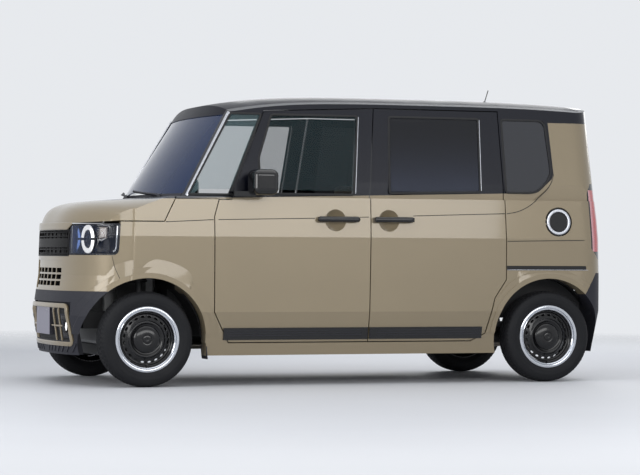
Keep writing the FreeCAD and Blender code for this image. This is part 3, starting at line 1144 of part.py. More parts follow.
# dashboard, steering column and steering wheel; the driver sits on the right
dash = Part.makeBox(s.dash_front - s.dash_rear, 2 * s.dash_half, s.dash_high - s.dash_low,
                    Vector(s.dash_rear, -s.dash_half, s.dash_low))
dash = dash.makeFillet(s.dash_round, dash.Edges)
dash = dash.fuse(block(s.dash_front - s.dash_round, s.firewall_x - s.seat_gap, -s.dash_mount_half,
                       s.dash_mount_half, s.dash_low + s.dash_round, s.dash_high - s.dash_round))
steer_hub = Vector(s.steer_x, -s.steer_side, s.steer_height)
lean = math.radians(s.steer_lean)
steer_axis = Vector(-math.sin(lean), 0, math.cos(lean))
column_end = steer_hub - steer_axis * (s.boss_thick / 2 + s.running_gap)
column = Part.makeCylinder(s.column_radius, s.column_long, column_end - steer_axis * s.column_long,
                           steer_axis)
keep("dashboard", clean(dash.fuse(column)))
ring = Part.makeTorus(s.wheel_ring, s.wheel_tube, steer_hub, steer_axis)
boss = Part.makeCylinder(s.wheel_boss, s.boss_thick, steer_hub - steer_axis * (s.boss_thick / 2),
                         steer_axis)
wheel = ring.fuse(boss)
for turn in (0, 90, 180):
    spoke = block(0, s.wheel_ring, -s.spoke_wide / 2, s.spoke_wide / 2, -s.spoke_thick / 2,
                  s.spoke_thick / 2)
    spoke.rotate(Vector(0, 0, 0), Vector(0, 0, 1), turn - 90)
    spoke.Placement = Placement(steer_hub, Rotation(Vector(0, 0, 1), steer_axis)).multiply(
        spoke.Placement)
    wheel = wheel.fuse(spoke)
keep("steering_wheel", clean(wheel))


# door furniture: handles, lower mouldings and mirrors
house_grown = glasshouse(-s.seat_gap, -s.seat_gap)


tub_grown = tub(-s.seat_gap, -s.seat_gap)
handle_side = flank_side(s.handle_height)


def door_handle(x):
    low, high = s.handle_height - s.handle_tall / 2, s.handle_height + s.handle_tall / 2
    bar_side = handle_side + s.handle_out - s.handle_thick
    grip = block(x - s.handle_long / 2, x + s.handle_long / 2, bar_side,
                 bar_side + s.handle_thick, low, high)
    for end in (x - s.handle_long / 2, x + s.handle_long / 2 - s.handle_foot):
        grip = grip.fuse(block(end, end + s.handle_foot, handle_side - s.handle_thick,
                               bar_side, low, high))
    return clean(grip.cut(tub_grown))


def moulding(rear, front):
    # the protective strip along a door's foot
    strip = tub(-s.mould_out, -s.mould_out).common(
        block(rear, front, 0, reach, s.mould_low, s.mould_high))
    return clean(strip.cut(tub_grown))


mirror_body = Part.makeBox(s.mirror_long, s.mirror_wide, s.mirror_tall,
                           Vector(s.mirror_x, s.mirror_side - s.mirror_wide / 2, s.mirror_low))
mirror_body = mirror_body.makeFillet(s.mirror_round, mirror_body.Edges)
mirror_foot = block(s.mirror_arm_x - s.mirror_arm_long / 2, s.mirror_arm_x + s.mirror_arm_long / 2,
                    s.rail_half, s.mirror_side, s.belt_height + s.seat_gap,
                    s.belt_height + s.seat_gap + s.mirror_arm).cut(house_grown)
mirror = clean(mirror_body.fuse(mirror_foot))
front_trim = Part.makeCompound([mirror, door_handle(s.front_handle_x),
                                moulding(s.door_rear + s.mould_gap, s.mould_front)])
keep("front_door_left_trim", front_trim)
keep("front_door_right_trim", Part.makeCompound(mirrored(front_trim).Solids))
keep("sliding_door_trim", both_sides(Part.makeCompound(
    [door_handle(s.slide_handle_x), moulding(s.mould_rear, s.door_rear - s.mould_gap)])))

# aerial at the rear of the roof
aerial_foot = Vector(s.aerial_x, 0, s.roof_height - s.aerial_foot_tall)
aerial_way = Vector(-math.cos(math.radians(s.aerial_lean)), 0,
                    math.sin(math.radians(s.aerial_lean)))
aerial = Part.makeCone(s.aerial_foot, s.aerial_foot / 2, 2 * s.aerial_foot_tall, aerial_foot).fuse(
    Part.makeCylinder(s.aerial_radius, s.aerial_long,
                      aerial_foot + Vector(0, 0, s.aerial_foot_tall * 1.5), aerial_way))
aerial = aerial.cut(house_grown)
keep("aerial", clean(aerial))

doc.recompute()
parts = [item for item in doc.Objects if item.isDerivedFrom("Part::Feature")
         and item.getParentGeoFeatureGroup() is None]
faults = [item.Label for item in doc.Objects if "Invalid" in item.State or "Error" in item.State]
faults += [item.Label for item in parts if item.Shape.isNull() or not item.Shape.isValid()]
if faults:
    raise RuntimeError("these came out broken: " + ", ".join(faults))
os.makedirs("parts", exist_ok=True)
for item in parts:
    item.Shape.exportStep("parts/%s.step" % item.Label)
print(len(parts), "pieces written")
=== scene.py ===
import bpy
import bmesh
import math
import numpy as np
from mathutils import Matrix, Vector


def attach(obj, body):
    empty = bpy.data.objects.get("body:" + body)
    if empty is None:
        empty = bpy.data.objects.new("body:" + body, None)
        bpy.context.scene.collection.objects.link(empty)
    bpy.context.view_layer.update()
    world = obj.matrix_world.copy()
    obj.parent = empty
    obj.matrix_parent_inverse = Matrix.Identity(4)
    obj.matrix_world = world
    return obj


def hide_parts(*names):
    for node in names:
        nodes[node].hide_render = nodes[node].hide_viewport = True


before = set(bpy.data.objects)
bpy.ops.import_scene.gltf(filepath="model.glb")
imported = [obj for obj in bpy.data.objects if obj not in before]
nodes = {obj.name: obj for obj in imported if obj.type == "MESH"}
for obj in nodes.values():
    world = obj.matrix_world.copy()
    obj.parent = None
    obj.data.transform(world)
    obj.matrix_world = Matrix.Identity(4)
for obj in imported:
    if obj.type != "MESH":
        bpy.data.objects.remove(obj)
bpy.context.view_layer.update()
print("frame loaded:", len(nodes), "nodes")

sides = (("left", 1), ("right", -1))


def newObject(name, data):
    made = bpy.data.objects.new(name, data)
    bpy.context.scene.collection.objects.link(made)
    return made


def newMesh(name, points, faces, finish=None):
    mesh = bpy.data.meshes.new(name)
    mesh.from_pydata(points.tolist(), [], faces)
    if finish:
        mesh.materials.append(finish.material)
    return mesh


# camera at the photograph's viewing angle, and soft lamps
cameraView = {"place": (4.9751, 14.1154, 0.7747), "yaw": -109.614, "pitch": 0.369,
              "roll": 0.284, "lens": 136.24}


def makeCamera(view):
    # the camera's axes from its compass angle, its tilt and a small roll
    yaw, pitch, roll = (math.radians(view[key]) for key in ("yaw", "pitch", "roll"))
    ahead = Vector((math.cos(yaw) * math.cos(pitch), math.sin(yaw) * math.cos(pitch), math.sin(pitch)))
    right = Vector((math.sin(yaw), -math.cos(yaw), 0))
    up = right.cross(ahead)
    rolledRight = right * math.cos(roll) + up * math.sin(roll)
    rolledUp = up * math.cos(roll) - right * math.sin(roll)
    turn = Matrix((rolledRight, rolledUp, -ahead)).transposed().to_4x4()
    data = bpy.data.cameras.new("camera")
    data.lens, data.sensor_width = view["lens"], 36
    data.clip_end = 200
    camera = newObject("camera", data)
    camera.matrix_world = Matrix.Translation(Vector(view["place"])) @ turn
    bpy.context.scene.camera = camera


makeCamera(cameraView)
bpy.context.scene.view_settings.view_transform = "Standard"

lampSettings = {
    "overhead": {"place": (0.0, 1.0, 5.2), "aim": (0, 0, 0.8), "size": (8.0, 5.0), "power": 120},
    "side": {"place": (0.4, 7.4, 2.5), "aim": (0, 0, 0.8), "size": (9.0, 1.6), "power": 185},
    "front": {"place": (7.0, 3.0, 2.4), "aim": (0.8, 0, 0.7), "size": (4.0, 2.6), "power": 170},
    "back": {"place": (-6.0, -3.5, 3.2), "aim": (-0.4, 0, 0.9), "size": (3.4, 2.4), "power": 60},
    "far": {"place": (-3.2, -6.5, 3.0), "aim": (0, 0, 0.9), "size": (3.4, 2.4), "power": 60}}


def makeLamps(settings):
    for name, lamp in settings.items():
        data = bpy.data.lights.new(name, "AREA")
        data.shape, data.size, data.size_y = "RECTANGLE", lamp["size"][0], lamp["size"][1]
        data.energy = lamp["power"]
        place, aim = Vector(lamp["place"]), Vector(lamp["aim"])
        turn = (place - aim).to_track_quat("Z", "Y").to_matrix().to_4x4()
        newObject(name, data).matrix_world = Matrix.Translation(place) @ turn


makeLamps(lampSettings)


# shader maths as plain expressions, and one method that makes every node
class Wire:
    def __init__(self, finish, node, socket):
        self.finish, self.node, self.socket = finish, node, socket

    def maths(self, operation, other=None, flip=False):
        values = [self] if other is None else ([other, self] if flip else [self, other])
        return self.finish.node("ShaderNodeMath", {"operation": operation}, dict(enumerate(values)))

    def pick(self, name):
        return Wire(self.finish, self.node, self.node.outputs[name])


def operator(operation, flip=False):
    # one sign or word of the expressions; flipped when the number stands on its left
    return lambda wire, other=None: wire.maths(operation, other, flip)


for name, operation in {"__add__": "ADD", "__sub__": "SUBTRACT", "__mul__": "MULTIPLY",
                        "__truediv__": "DIVIDE", "__gt__": "GREATER_THAN", "__lt__": "LESS_THAN",
                        "least": "MINIMUM", "most": "MAXIMUM", "sine": "SINE", "size": "ABSOLUTE"}.items():
    setattr(Wire, name, operator(operation))
for name, operation in {"__radd__": "ADD", "__rsub__": "SUBTRACT", "__rmul__": "MULTIPLY"}.items():
    setattr(Wire, name, operator(operation, True))


class Finish:
    def __init__(self, name):
        self.material = bpy.data.materials.new(name)
        self.material.use_nodes = True
        self.tree = self.material.node_tree
        self.tree.nodes.clear()
        self.out = self.tree.nodes.new("ShaderNodeOutputMaterial")

    def node(self, kind, settings=None, inputs=None):
        made = self.tree.nodes.new(kind)
        for key, value in (settings or {}).items():
            if key == "stops":
                ramp = made.color_ramp.elements
                while len(ramp) < len(value):
                    ramp.new(0.5)
                for stop, (place, colour) in zip(ramp, value):
                    stop.position, stop.color = place, (*colour, 1)
            else:
                setattr(made, key, value)
        for key, value in (inputs or {}).items():
            socket = made.inputs[key]
            if isinstance(value, Wire):
                self.tree.links.new(value.socket, socket)
            elif socket.type == "RGBA":
                socket.default_value = (*value, 1) if len(value) == 3 else value
            else:
                socket.default_value = value
        return Wire(self, made, made.outputs[0])

    def place(self, scale=(1, 1, 1)):
        # the object's own coordinates in metres, the same on every piece
        source = self.node("ShaderNodeTexCoord").pick("Object")
        return self.node("ShaderNodeMapping", None, {"Vector": source, "Scale": scale})

    def axes(self):
        source = self.node("ShaderNodeTexCoord").pick("Object")
        split = self.node("ShaderNodeSeparateXYZ", None, {0: source})
        return split.pick("X"), split.pick("Y"), split.pick("Z")

    def noise(self, scale, detail=3, rough=0.5, vector=None):
        return self.node("ShaderNodeTexNoise", None, {"Vector": vector or self.place(), "Scale": scale,
                                                      "Detail": detail, "Roughness": rough})

    def edge(self):
        # near one where a surface is seen at a grazing angle
        return self.node("ShaderNodeLayerWeight", None, {"Blend": 0.35}).pick("Fresnel")

    def blendColour(self, factor, first, second):
        mixed = self.node("ShaderNodeMix", {"data_type": "RGBA"}, {0: factor, 6: first, 7: second})
        return Wire(self, mixed.node, mixed.node.outputs[2])

    def bump(self, height, strength, distance):
        sockets = {"Height": height, "Strength": strength, "Distance": distance}
        return self.node("ShaderNodeBump", None, sockets)

    def shade(self, sockets):
        shader = self.node("ShaderNodeBsdfPrincipled", None, sockets)
        self.tree.links.new(shader.socket, self.out.inputs["Surface"])
        return self


def srgb(red, green, blue):
    # a colour as it is seen on a screen, turned into the linear values that shaders use
    values = np.array([red, green, blue]) / 255
    linear = np.where(values <= 0.04045, values / 12.92, ((values + 0.055) / 1.055) ** 2.4)
    return tuple(float(value) for value in linear)


def toned(colour, share):
    return tuple(min(1, value * share) for value in colour)


paint = {"khaki": srgb(138, 125, 101), "night": srgb(15, 17, 27), "slot": srgb(9, 9, 11),
         "nightRough": 0.22, "khakiRough": 0.34}
# the border of the dark upper body: the belt line, the roof's edge, and four lines along the rear pillar,
# each with a height, a slope and the place along the car at that height; the last two cut the corners
border = {"beltHeight": 1.088, "beltSlope": -0.026, "beltPlace": 1.007, "roofLine": 1.578,
          "pillar": ((1.153, -1.163, -1.219), (1.245, 0.047, -1.326), (1.2486, -0.431, -1.3177),
                     (1.1536, -2.593, -1.2075))}
# the slots in the bumper: the nose is a superellipse of this power, and the slots' bars are this deep
mouth = {"power": 2.7, "half": 0.7295, "sweep": 0.5, "tip": 1.1975, "barDeep": 0.0085, "ahead": 1.5,
         "wide": 0.292, "low": 0.564, "high": 0.694}


def bodyPaint():
    # khaki below the belt line and on the rear pillar, night blue above, with fine flake and orange peel
    made = Finish("bodyPaint")
    x, y, z = made.axes()
    aboveBelt = z > (x - border["beltPlace"]) * border["beltSlope"] + border["beltHeight"]
    lines = [(z - height) * slope + place for height, slope, place in border["pillar"]]
    pillar = lines[0]
    for line in lines[1:]:
        pillar = pillar.most(line)
    dark = (aboveBelt * (x > pillar)).most(z > border["roofLine"])
    flake, cloud = made.noise(900, 2), made.noise(2.2, 2)
    khaki = made.blendColour(flake * 0.5 + cloud * 0.5, toned(paint["khaki"], 0.93),
                             toned(paint["khaki"], 1.06))
    colour = made.blendColour(dark, khaki, paint["night"])
    # painted shade: black inside the bumper's slots, which is deeper than their bars behind the nose
    noseBack = ((z - 0.430) * 0.143).least((z - 0.640) * 0.035 + 0.030)
    across = (y.size() / mouth["half"]).least(1.0)
    bow = (1.0 - across.maths("POWER", mouth["power"])).maths("POWER", 1 / mouth["power"])
    deep = x < bow * mouth["sweep"] - noseBack + (mouth["tip"] - mouth["barDeep"])
    band = (z > mouth["low"]) * (z < mouth["high"])
    slotShade = deep * (x > mouth["ahead"]) * (y.size() < mouth["wide"]) * band
    colour = made.blendColour(slotShade, colour, paint["slot"])
    rough = dark * (paint["nightRough"] - paint["khakiRough"]) + paint["khakiRough"] + (cloud - 0.5) * 0.06
    return made.shade({"Base Color": colour, "Metallic": 0.25, "Roughness": rough,
                       "Coat Weight": dark * -0.45 + 0.7, "Coat Roughness": 0.06,
                       "Specular IOR Level": 0.35, "Normal": made.bump(made.noise(160, 2), 0.03, 0.0004)})


def plainPaint(name, colour, rough, metallic=0.0, coat=0.0, grainScale=160, grain=0.03, spread=0.06,
               shine=0.5):
    # a painted or moulded surface: slow colour drift, fine grain in the bump, uneven gloss
    made = Finish(name)
    drift, fine = made.noise(6, 3), made.noise(grainScale, 3)
    tone = made.blendColour(drift, toned(colour, 1 - spread), toned(colour, 1 + spread))
    return made.shade({"Base Color": tone, "Metallic": metallic, "Roughness": (drift - 0.5) * 0.1 + rough,
                       "Coat Weight": coat, "Coat Roughness": 0.05, "Specular IOR Level": shine,
                       "Normal": made.bump(fine, grain, 0.0006)})


def grainPlastic(name, colour, rough=0.62):
    # moulded plastic with a leather-like grain of small cells
    made = Finish(name)
    cells = made.node("ShaderNodeTexVoronoi", {"feature": "F1"}, {"Vector": made.place(), "Scale": 700})
    drift = made.noise(9, 3)
    return made.shade({"Base Color": made.blendColour(drift, toned(colour, 0.85), toned(colour, 1.2)),
                       "Roughness": (drift - 0.5) * 0.14 + rough, "Normal": made.bump(cells, 0.25, 0.0004)})


def glass(name, colour, alpha, rough=0.02, shine=1.0):
    # thin tinted glass: a share of the surface is tint and gloss, more of it at grazing angles
    made = Finish(name)
    return made.shade({"Base Color": made.blendColour(made.noise(3, 2), toned(colour, 0.9), colour),
                       "Roughness": rough, "Alpha": (made.edge() * 0.55 + alpha).least(1.0),
                       "Coat Weight": shine, "Coat Roughness": 0.02, "Specular IOR Level": 0.5 * shine})


def darkGlass():
    # privacy glass, near black at its head and a little lighter toward the belt, as a low sky shows in it
    made = Finish("darkGlass")
    fall = ((1.56 - made.axes()[2]) * 2.4).least(1.0).most(0.0)
    tone = made.blendColour(fall * fall * (made.noise(3, 2) * 0.3 + 0.8), srgb(9, 11, 19), srgb(50, 55, 70))
    return made.shade({"Base Color": tone, "Roughness": 0.03,
                       "Alpha": (made.edge() * 0.5 + 0.88).least(1.0), "Coat Weight": 0.3,
                       "Coat Roughness": 0.02, "Specular IOR Level": 0.3})


def quarterGlass():
    # clear in the front quarter light, dark privacy tint behind the rear doors
    made = Finish("quarterGlass")
    ahead = made.axes()[0] > 0.0
    return made.shade({"Base Color": made.blendColour(ahead, srgb(17, 21, 32), srgb(120, 150, 155)),
                       "Roughness": 0.02, "Alpha": (made.edge() * 0.55 + 0.86 - ahead * 0.7).least(1.0),
                       "Coat Weight": 1.0, "Coat Roughness": 0.02})


# the tail lamp's front edge, as a height, a slope and a place; its border; the width of its pale band
lensForm = {"front": (0.812, 0.044, -1.559), "border": 0.011, "low": 0.792, "high": 1.168, "pale": 0.040}


def tailLens():
    # a red lens, pale along its front edge, ribbed across, inside a black border
    made = Finish("tailLens")
    x, _, z = made.axes()
    height, slope, place = lensForm["front"]
    depth = (z - height) * slope + place - x
    edging = (depth < lensForm["border"]).most(z < lensForm["low"]).most(z > lensForm["high"])
    pale = ((lensForm["pale"] - depth) * 34.0).least(1.0).most(0.0)
    ribs = ((z * 420).sine() * 0.5 + 0.5) * 0.18 + 0.82
    red = made.blendColour(ribs, srgb(96, 6, 16), srgb(190, 20, 34))
    tone = made.blendColour(edging, made.blendColour(pale, red, srgb(226, 176, 180)), srgb(10, 10, 12))
    return made.shade({"Base Color": tone, "Roughness": 0.14, "Coat Weight": 0.8, "Coat Roughness": 0.02,
                       "Specular IOR Level": 0.3})


def tyreRubber():
    # dark rubber, dustier in random patches, with fine grain
    made = Finish("tyreRubber")
    drift, fine = made.noise(14, 4), made.noise(420, 2)
    tone = made.blendColour(drift, srgb(9, 10, 13), srgb(19, 20, 24))
    return made.shade({"Base Color": tone, "Roughness": drift * 0.2 + 0.6, "Specular IOR Level": 0.3,
                       "Normal": made.bump(fine, 0.12, 0.0004)})


def metal(name, colour, rough, streak=0.05):
    # bare metal with fine drawn streaks
    made = Finish(name)
    lines = made.noise(60, 4, 0.6, made.place((1, 1, 9)))
    return made.shade({"Base Color": made.blendColour(lines, toned(colour, 0.88), colour), "Metallic": 1.0,
                       "Roughness": (lines - 0.5) * streak * 4 + rough,
                       "Normal": made.bump(lines, 0.04, 0.0003)})


def castMetal(name, colour):
    # cast alloy, pebbled and mottled
    made = Finish(name)
    pebble, mottle = made.noise(240, 4), made.noise(11, 3)
    return made.shade({"Base Color": made.blendColour(mottle, toned(colour, 0.7), colour), "Metallic": 0.8,
                       "Roughness": mottle * 0.25 + 0.42, "Normal": made.bump(pebble, 0.3, 0.0008)})


def weave(name, warp, weft, scale=900):
    # woven cloth: two crossing sine waves, one thread over the other, with melange noise
    made = Finish(name)
    x, y, z = made.axes()
    across = ((x + y) * scale * 2).sine() * 0.5 + 0.5
    along = ((z + x * 0.3 - y * 0.3) * scale * 2).sine() * 0.5 + 0.5
    melange = made.noise(90, 4)
    tone = made.blendColour((across * 0.5 + melange * 0.6).least(1.0), warp, weft)
    return made.shade({"Base Color": tone, "Roughness": 0.9, "Sheen Weight": 0.25,
                       "Normal": made.bump(across.most(along), 0.3, 0.0006)})


def glow(name, colour, power):
    # a lit lens with a slightly uneven core
    made = Finish(name)
    core = made.blendColour(made.noise(40, 2), toned(colour, 0.95), colour)
    return made.shade({"Base Color": core, "Roughness": 0.2, "Emission Color": colour,
                       "Emission Strength": power})


finishes = {
    "body": bodyPaint(),
    "roof": plainPaint("roofPaint", srgb(13, 15, 26), 0.34, 0.0, 0.04, 160, 0.02, 0.06, 0.05),
    "khaki": plainPaint("khakiTrim", paint["khaki"], 0.36, 0.2, 0.6),
    "clearGlass": glass("clearGlass", srgb(36, 58, 62), 0.22, 0.02, 0.6),
    "screenGlass": glass("screenGlass", srgb(26, 50, 92), 0.62, 0.02, 0.3),
    "darkGlass": darkGlass(),
    "quarterGlass": quarterGlass(),
    "tailLens": tailLens(),
    "lampGlass": glass("lampGlass", srgb(40, 52, 78), 0.05),
    "trimPlastic": grainPlastic("trimPlastic", srgb(22, 23, 33)),
    "innerPlastic": grainPlastic("innerPlastic", srgb(64, 62, 60), 0.7),
    "paleTrim": grainPlastic("paleTrim", srgb(170, 166, 158), 0.75),
    "gloss": plainPaint("glossBlack", srgb(9, 9, 12), 0.12, 0.0, 0.5, 160, 0.01, 0.06, 0.3),
    "seal": grainPlastic("sealRubber", srgb(14, 14, 16), 0.7),
    "tyre": tyreRubber(),
    "wheelBlack": plainPaint("wheelBlack", srgb(6, 6, 8), 0.2, 0.0, 0.3, 200, 0.02, 0.06, 0.3),
    "chrome": metal("brightTrim", srgb(205, 208, 214), 0.12),
    "silver": metal("satinSilver", srgb(190, 192, 198), 0.28),
    "chassis": plainPaint("chassisPaint", srgb(22, 22, 24), 0.6, 0.1, 0.0, 120, 0.15, 0.25),
    "engine": castMetal("engineAlloy", srgb(150, 150, 150)),
    "exhaust": metal("exhaustSteel", srgb(140, 134, 126), 0.42, 0.09),
    "cloth": weave("seatCloth", srgb(92, 88, 82), srgb(130, 124, 114)),
    "grip": grainPlastic("gripLeather", srgb(26, 26, 28), 0.5),
    "lampWhite": glow("lampWhite", (1.0, 1.0, 1.0), 1.4),
    "brakeDisc": metal("brakeIron", srgb(120, 118, 116), 0.35),
    "plate": plainPaint("blankPlate", srgb(128, 126, 140), 0.45, 0.0, 0.1, 300, 0.02),
    "satinDark": plainPaint("satinDark", srgb(17, 15, 17), 0.3, 0.0, 0.2, 200, 0.03, 0.06, 0.25),
    "grilleDark": plainPaint("grilleDark", srgb(7, 6, 7), 0.55, 0.0, 0.1, 200, 0.02, 0.06, 0.1),
    "navyDark": plainPaint("navyDark", srgb(10, 14, 30), 0.35, 0.2, 0.2, 200, 0.02),
    # chrome tinted blue: a painted reflection of the sky
    "chromeWithPaintedSky": metal("chromeWithPaintedSky", srgb(120, 150, 215), 0.16),
    "redLens": plainPaint("redLens", srgb(150, 14, 22), 0.12, 0.0, 1.0, 160, 0.01),
    "carpet": weave("floorCarpet", srgb(26, 26, 28), srgb(40, 40, 42), 1500),
    "smoke": plainPaint("smokedLens", srgb(84, 70, 62), 0.16, 0.1, 1.0, 160, 0.01)}
print("finishes made:", len(finishes))

wheelNames = ["%s_%s" % (end, side) for end in ("front", "rear") for side, _ in sides]
nodeFinish = {
    "body": ["front_door_left", "front_door_right", "sliding_doors", "side_panel_left", "side_panel_right",
             "fender_left", "fender_right", "bonnet", "tailgate", "front_bumper"],
    "roof": ["roof_panel"], "khaki": ["bumper_insert"], "plate": ["front_plate", "rear_plate"],
    "clearGlass": ["front_door_left_glass", "front_door_right_glass"], "screenGlass": ["windscreen"],
    "darkGlass": ["sliding_door_glass", "tailgate_glass"], "quarterGlass": ["quarter_glass"],
    "lampGlass": ["headlamps"], "tailLens": ["tail_lamps"], "lampWhite": ["fog_lamps"],
    "trimPlastic": ["cowl", "bumper_skirt", "rear_bumper"], "innerPlastic": ["dashboard"],
    "gloss": ["upper_grille", "front_door_left_trim", "front_door_right_trim", "sliding_door_trim",
              "aerial", "fuel_lid"],
    "chassis": ["knuckle_left", "knuckle_right", "front_struts", "front_subframe", "rear_axle",
                "floor_pan", "fuel_tank"],
    "engine": ["engine"], "exhaust": ["exhaust"], "cloth": ["front_seats", "rear_seats"],
    "grip": ["steering_wheel"], "tyre": ["tyre_" + name for name in wheelNames],
    "wheelBlack": ["rim_" + name for name in wheelNames]}


def dressNodes():
    for key, names in nodeFinish.items():
        for name in names:
            nodes[name].data.materials.clear()
            nodes[name].data.materials.append(finishes[key].material)
    undressed = set(nodes) - {name for names in nodeFinish.values() for name in names}
    assert not undressed, undressed


dressNodes()
print("nodes dressed")


# surfaces worked out on grids of points and put into meshes
class Shape:
    def __init__(self):
        self.points, self.faces, self.count = [], [], 0

    def shell(self, grid, around=True, along=False, ends=True, closed=True):
        # rows are sections and columns go round them; the skin is turned so that its volume is positive
        grid = np.asarray(grid, float)
        rows, columns = grid.shape[:2]
        index = np.arange(rows * columns).reshape(rows, columns)
        ring = np.concatenate([index, index[:, :1]], 1) if around else index
        ring = np.concatenate([ring, ring[:1]], 0) if along else ring
        quads = np.stack([ring[:-1, :-1], ring[:-1, 1:], ring[1:, 1:], ring[1:, :-1]], -1).reshape(-1, 4)
        flat = grid.reshape(-1, 3)
        faces = quads.tolist()
        if ends and around and not along:
            faces += [index[0, ::-1].tolist(), index[-1].tolist()]
        if closed:
            local = flat - flat.mean(0)
            a, b, c, d = (local[quads[:, k]] for k in range(4))
            volume = (np.einsum("ij,ij->i", a, np.cross(b, c))
                      + np.einsum("ij,ij->i", a, np.cross(c, d))).sum()
            for cap in faces[len(quads):]:
                rim = local[cap]
                volume += np.einsum("ij,ij->i", np.broadcast_to(rim[0], rim[1:-1].shape),
                                    np.cross(rim[1:-1], rim[2:])).sum()
            if volume < 0:
                faces = [face[::-1] for face in faces]
        self.points.append(flat)
        self.faces += [[corner + self.count for corner in face] for face in faces]
        self.count += len(flat)
        return self

    def pair(self, grid, **more):
        # a grid on the car's left and its mirror image on the right
        return self.shell(grid, **more).shell(mirrored(grid), **more)

    def spin(self, *form):
        # a turned form; its profile starts and ends on the axis, so it needs no caps
        return self.shell(turned(*form), around=False, along=True)

    def spinPair(self, *form):
        return self.pair(turned(*form), around=False, along=True)

    def piece(self, name, finish, slot, body="body_shell", crease=35, replaces=(), solid=0.0):
        # the finished object: doubles merged, smooth but for its creases, open sheets given a wall
        mesh = newMesh(name, np.concatenate(self.points), self.faces, finishes[finish])
        work = bmesh.new()
        work.from_mesh(mesh)
        bmesh.ops.remove_doubles(work, verts=work.verts, dist=2e-6)
        bmesh.ops.dissolve_degenerate(work, edges=work.edges, dist=1e-7)
        work.to_mesh(mesh)
        work.free()
        mesh.shade_smooth()
        mesh.set_sharp_from_angle(angle=math.radians(crease))
        made = newObject(name, mesh)
        if solid:
            wall = made.modifiers.new("wall", "SOLIDIFY")
            wall.thickness, wall.offset = solid, -1
        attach(made, body)
        if replaces:
            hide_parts(*replaces)
        return made


def mirrored(grid):
    return np.asarray(grid, float) * np.array([1, -1, 1])


def bothSides(grid):
    return grid, mirrored(grid)


def rounded(share):
    # a quarter circle's rise for a share of its run, so that an edge falls off softly
    return np.sqrt(1 - (1 - np.clip(share, 0, 1)) ** 2)


def drawnIn(share, power):
    # how wide a superellipse still is at a share of its depth
    return (1 - share ** power) ** (1 / power)


# the body's forms: how far out the flank, the side glass and the nose stand
bodyForm = {"heights": [0.178, 0.430, 0.640, 0.868, 0.985, 1.100],
            "tuck": [0.052, 0.009, 0.008, 0.008, 0.017, 0.027],
            "noseBack": [0.034, 0.0, 0.030, 0.038, 0.044, 0.044],
            "tailBack": [0.035, 0.0, 0.0, 0.005, 0.012, 0.024],
            "halfWidth": 0.7375, "halfLength": 1.6975, "noseSweep": 0.5, "tailSweep": 0.24,
            "nosePower": 2.7, "tailPower": 4, "beltLine": 1.1, "glassFoot": 1.085, "glassTall": 0.518,
            "glassHalf": 0.706, "glassDraw": 0.093, "glassTailBack": 0.022, "glassTailDraw": 0.024,
            "postFoot": (1.022, 0.690), "postHead": (0.726, 0.598), "postDepth": 0.069,
            "screenFoot": 1.156, "screenHead": 0.800}
# the steps over which a surface's slope is measured
slopeStep = 0.002


def level(z, key):
    return np.interp(z, bodyForm["heights"], bodyForm[key])


def plane(first, second, rows, columns):
    # a grid of points over two ranges
    return np.meshgrid(np.linspace(*first, rows), np.linspace(*second, columns), indexing="ij")


def slopes(surface, first, second):
    # how steep a surface is along each of its two places
    step = slopeStep
    return ((surface(first + step, second) - surface(first - step, second)) / (2 * step),
            (surface(first, second + step) - surface(first, second - step)) / (2 * step))


def glassRise(z):
    # how far up the side glass a height is, as a share
    return (np.asarray(z, float) - bodyForm["glassFoot"]) / bodyForm["glassTall"]


def glassBack(z):
    return bodyForm["glassTailBack"] + bodyForm["glassTailDraw"] * glassRise(z)


def flankAt(x, z):
    # half width at a height: straight between the level outlines, curved in at both ends of the car,
    # and above the belt the leaning side of the greenhouse
    x, z = np.broadcast_arrays(np.asarray(x, float), np.asarray(z, float))
    form = bodyForm
    half = form["halfWidth"] - level(z, "tuck")
    nose = np.clip((x - form["halfLength"] + level(z, "noseBack")) / form["noseSweep"] + 1, 0, 1)
    tail = np.clip((-x - form["halfLength"] + level(z, "tailBack")) / form["tailSweep"] + 1, 0, 1)
    lower = half * drawnIn(nose, form["nosePower"]) * drawnIn(tail, form["tailPower"])
    glassTail = np.clip((-x - form["halfLength"] + glassBack(z)) / form["tailSweep"] + 1, 0, 1)
    upper = (form["glassHalf"] - form["glassDraw"] * glassRise(z)) * drawnIn(glassTail, form["tailPower"])
    return np.where(z > form["beltLine"], upper, lower)


def noseAt(turn, z, inset):
    # a point of the nose at an angle round its plan outline
    turn, z = np.broadcast_arrays(np.asarray(turn, float), np.asarray(z, float))
    half = bodyForm["halfWidth"] - level(z, "tuck") - inset
    tip = bodyForm["halfLength"] - level(z, "noseBack") - inset
    power = 2 / bodyForm["nosePower"]
    across = half * np.sign(np.sin(turn)) * np.abs(np.sin(turn)) ** power
    ahead = tip - bodyForm["noseSweep"] * (1 - np.abs(np.cos(turn)) ** power)
    return np.stack([ahead, across, z], -1)


def noseX(y, z):
    # how far forward the nose stands at a place across the car
    half = bodyForm["halfWidth"] - level(z, "tuck")
    wide = drawnIn(np.clip(np.abs(y) / half, 0, 1), bodyForm["nosePower"])
    return bodyForm["halfLength"] - level(z, "noseBack") - bodyForm["noseSweep"] * (1 - wide)


def tailX(y, z):
    # how far back the tail stands, below the belt and above it
    form, above = bodyForm, z > bodyForm["beltLine"]
    half = np.where(above, form["glassHalf"] - form["glassDraw"] * glassRise(z),
                    form["halfWidth"] - level(z, "tuck"))
    tip = np.where(above, glassBack(z), level(z, "tailBack")) - form["halfLength"]
    return tip + form["tailSweep"] * (1 - drawnIn(np.clip(np.abs(y) / half, 0, 1), form["tailPower"]))


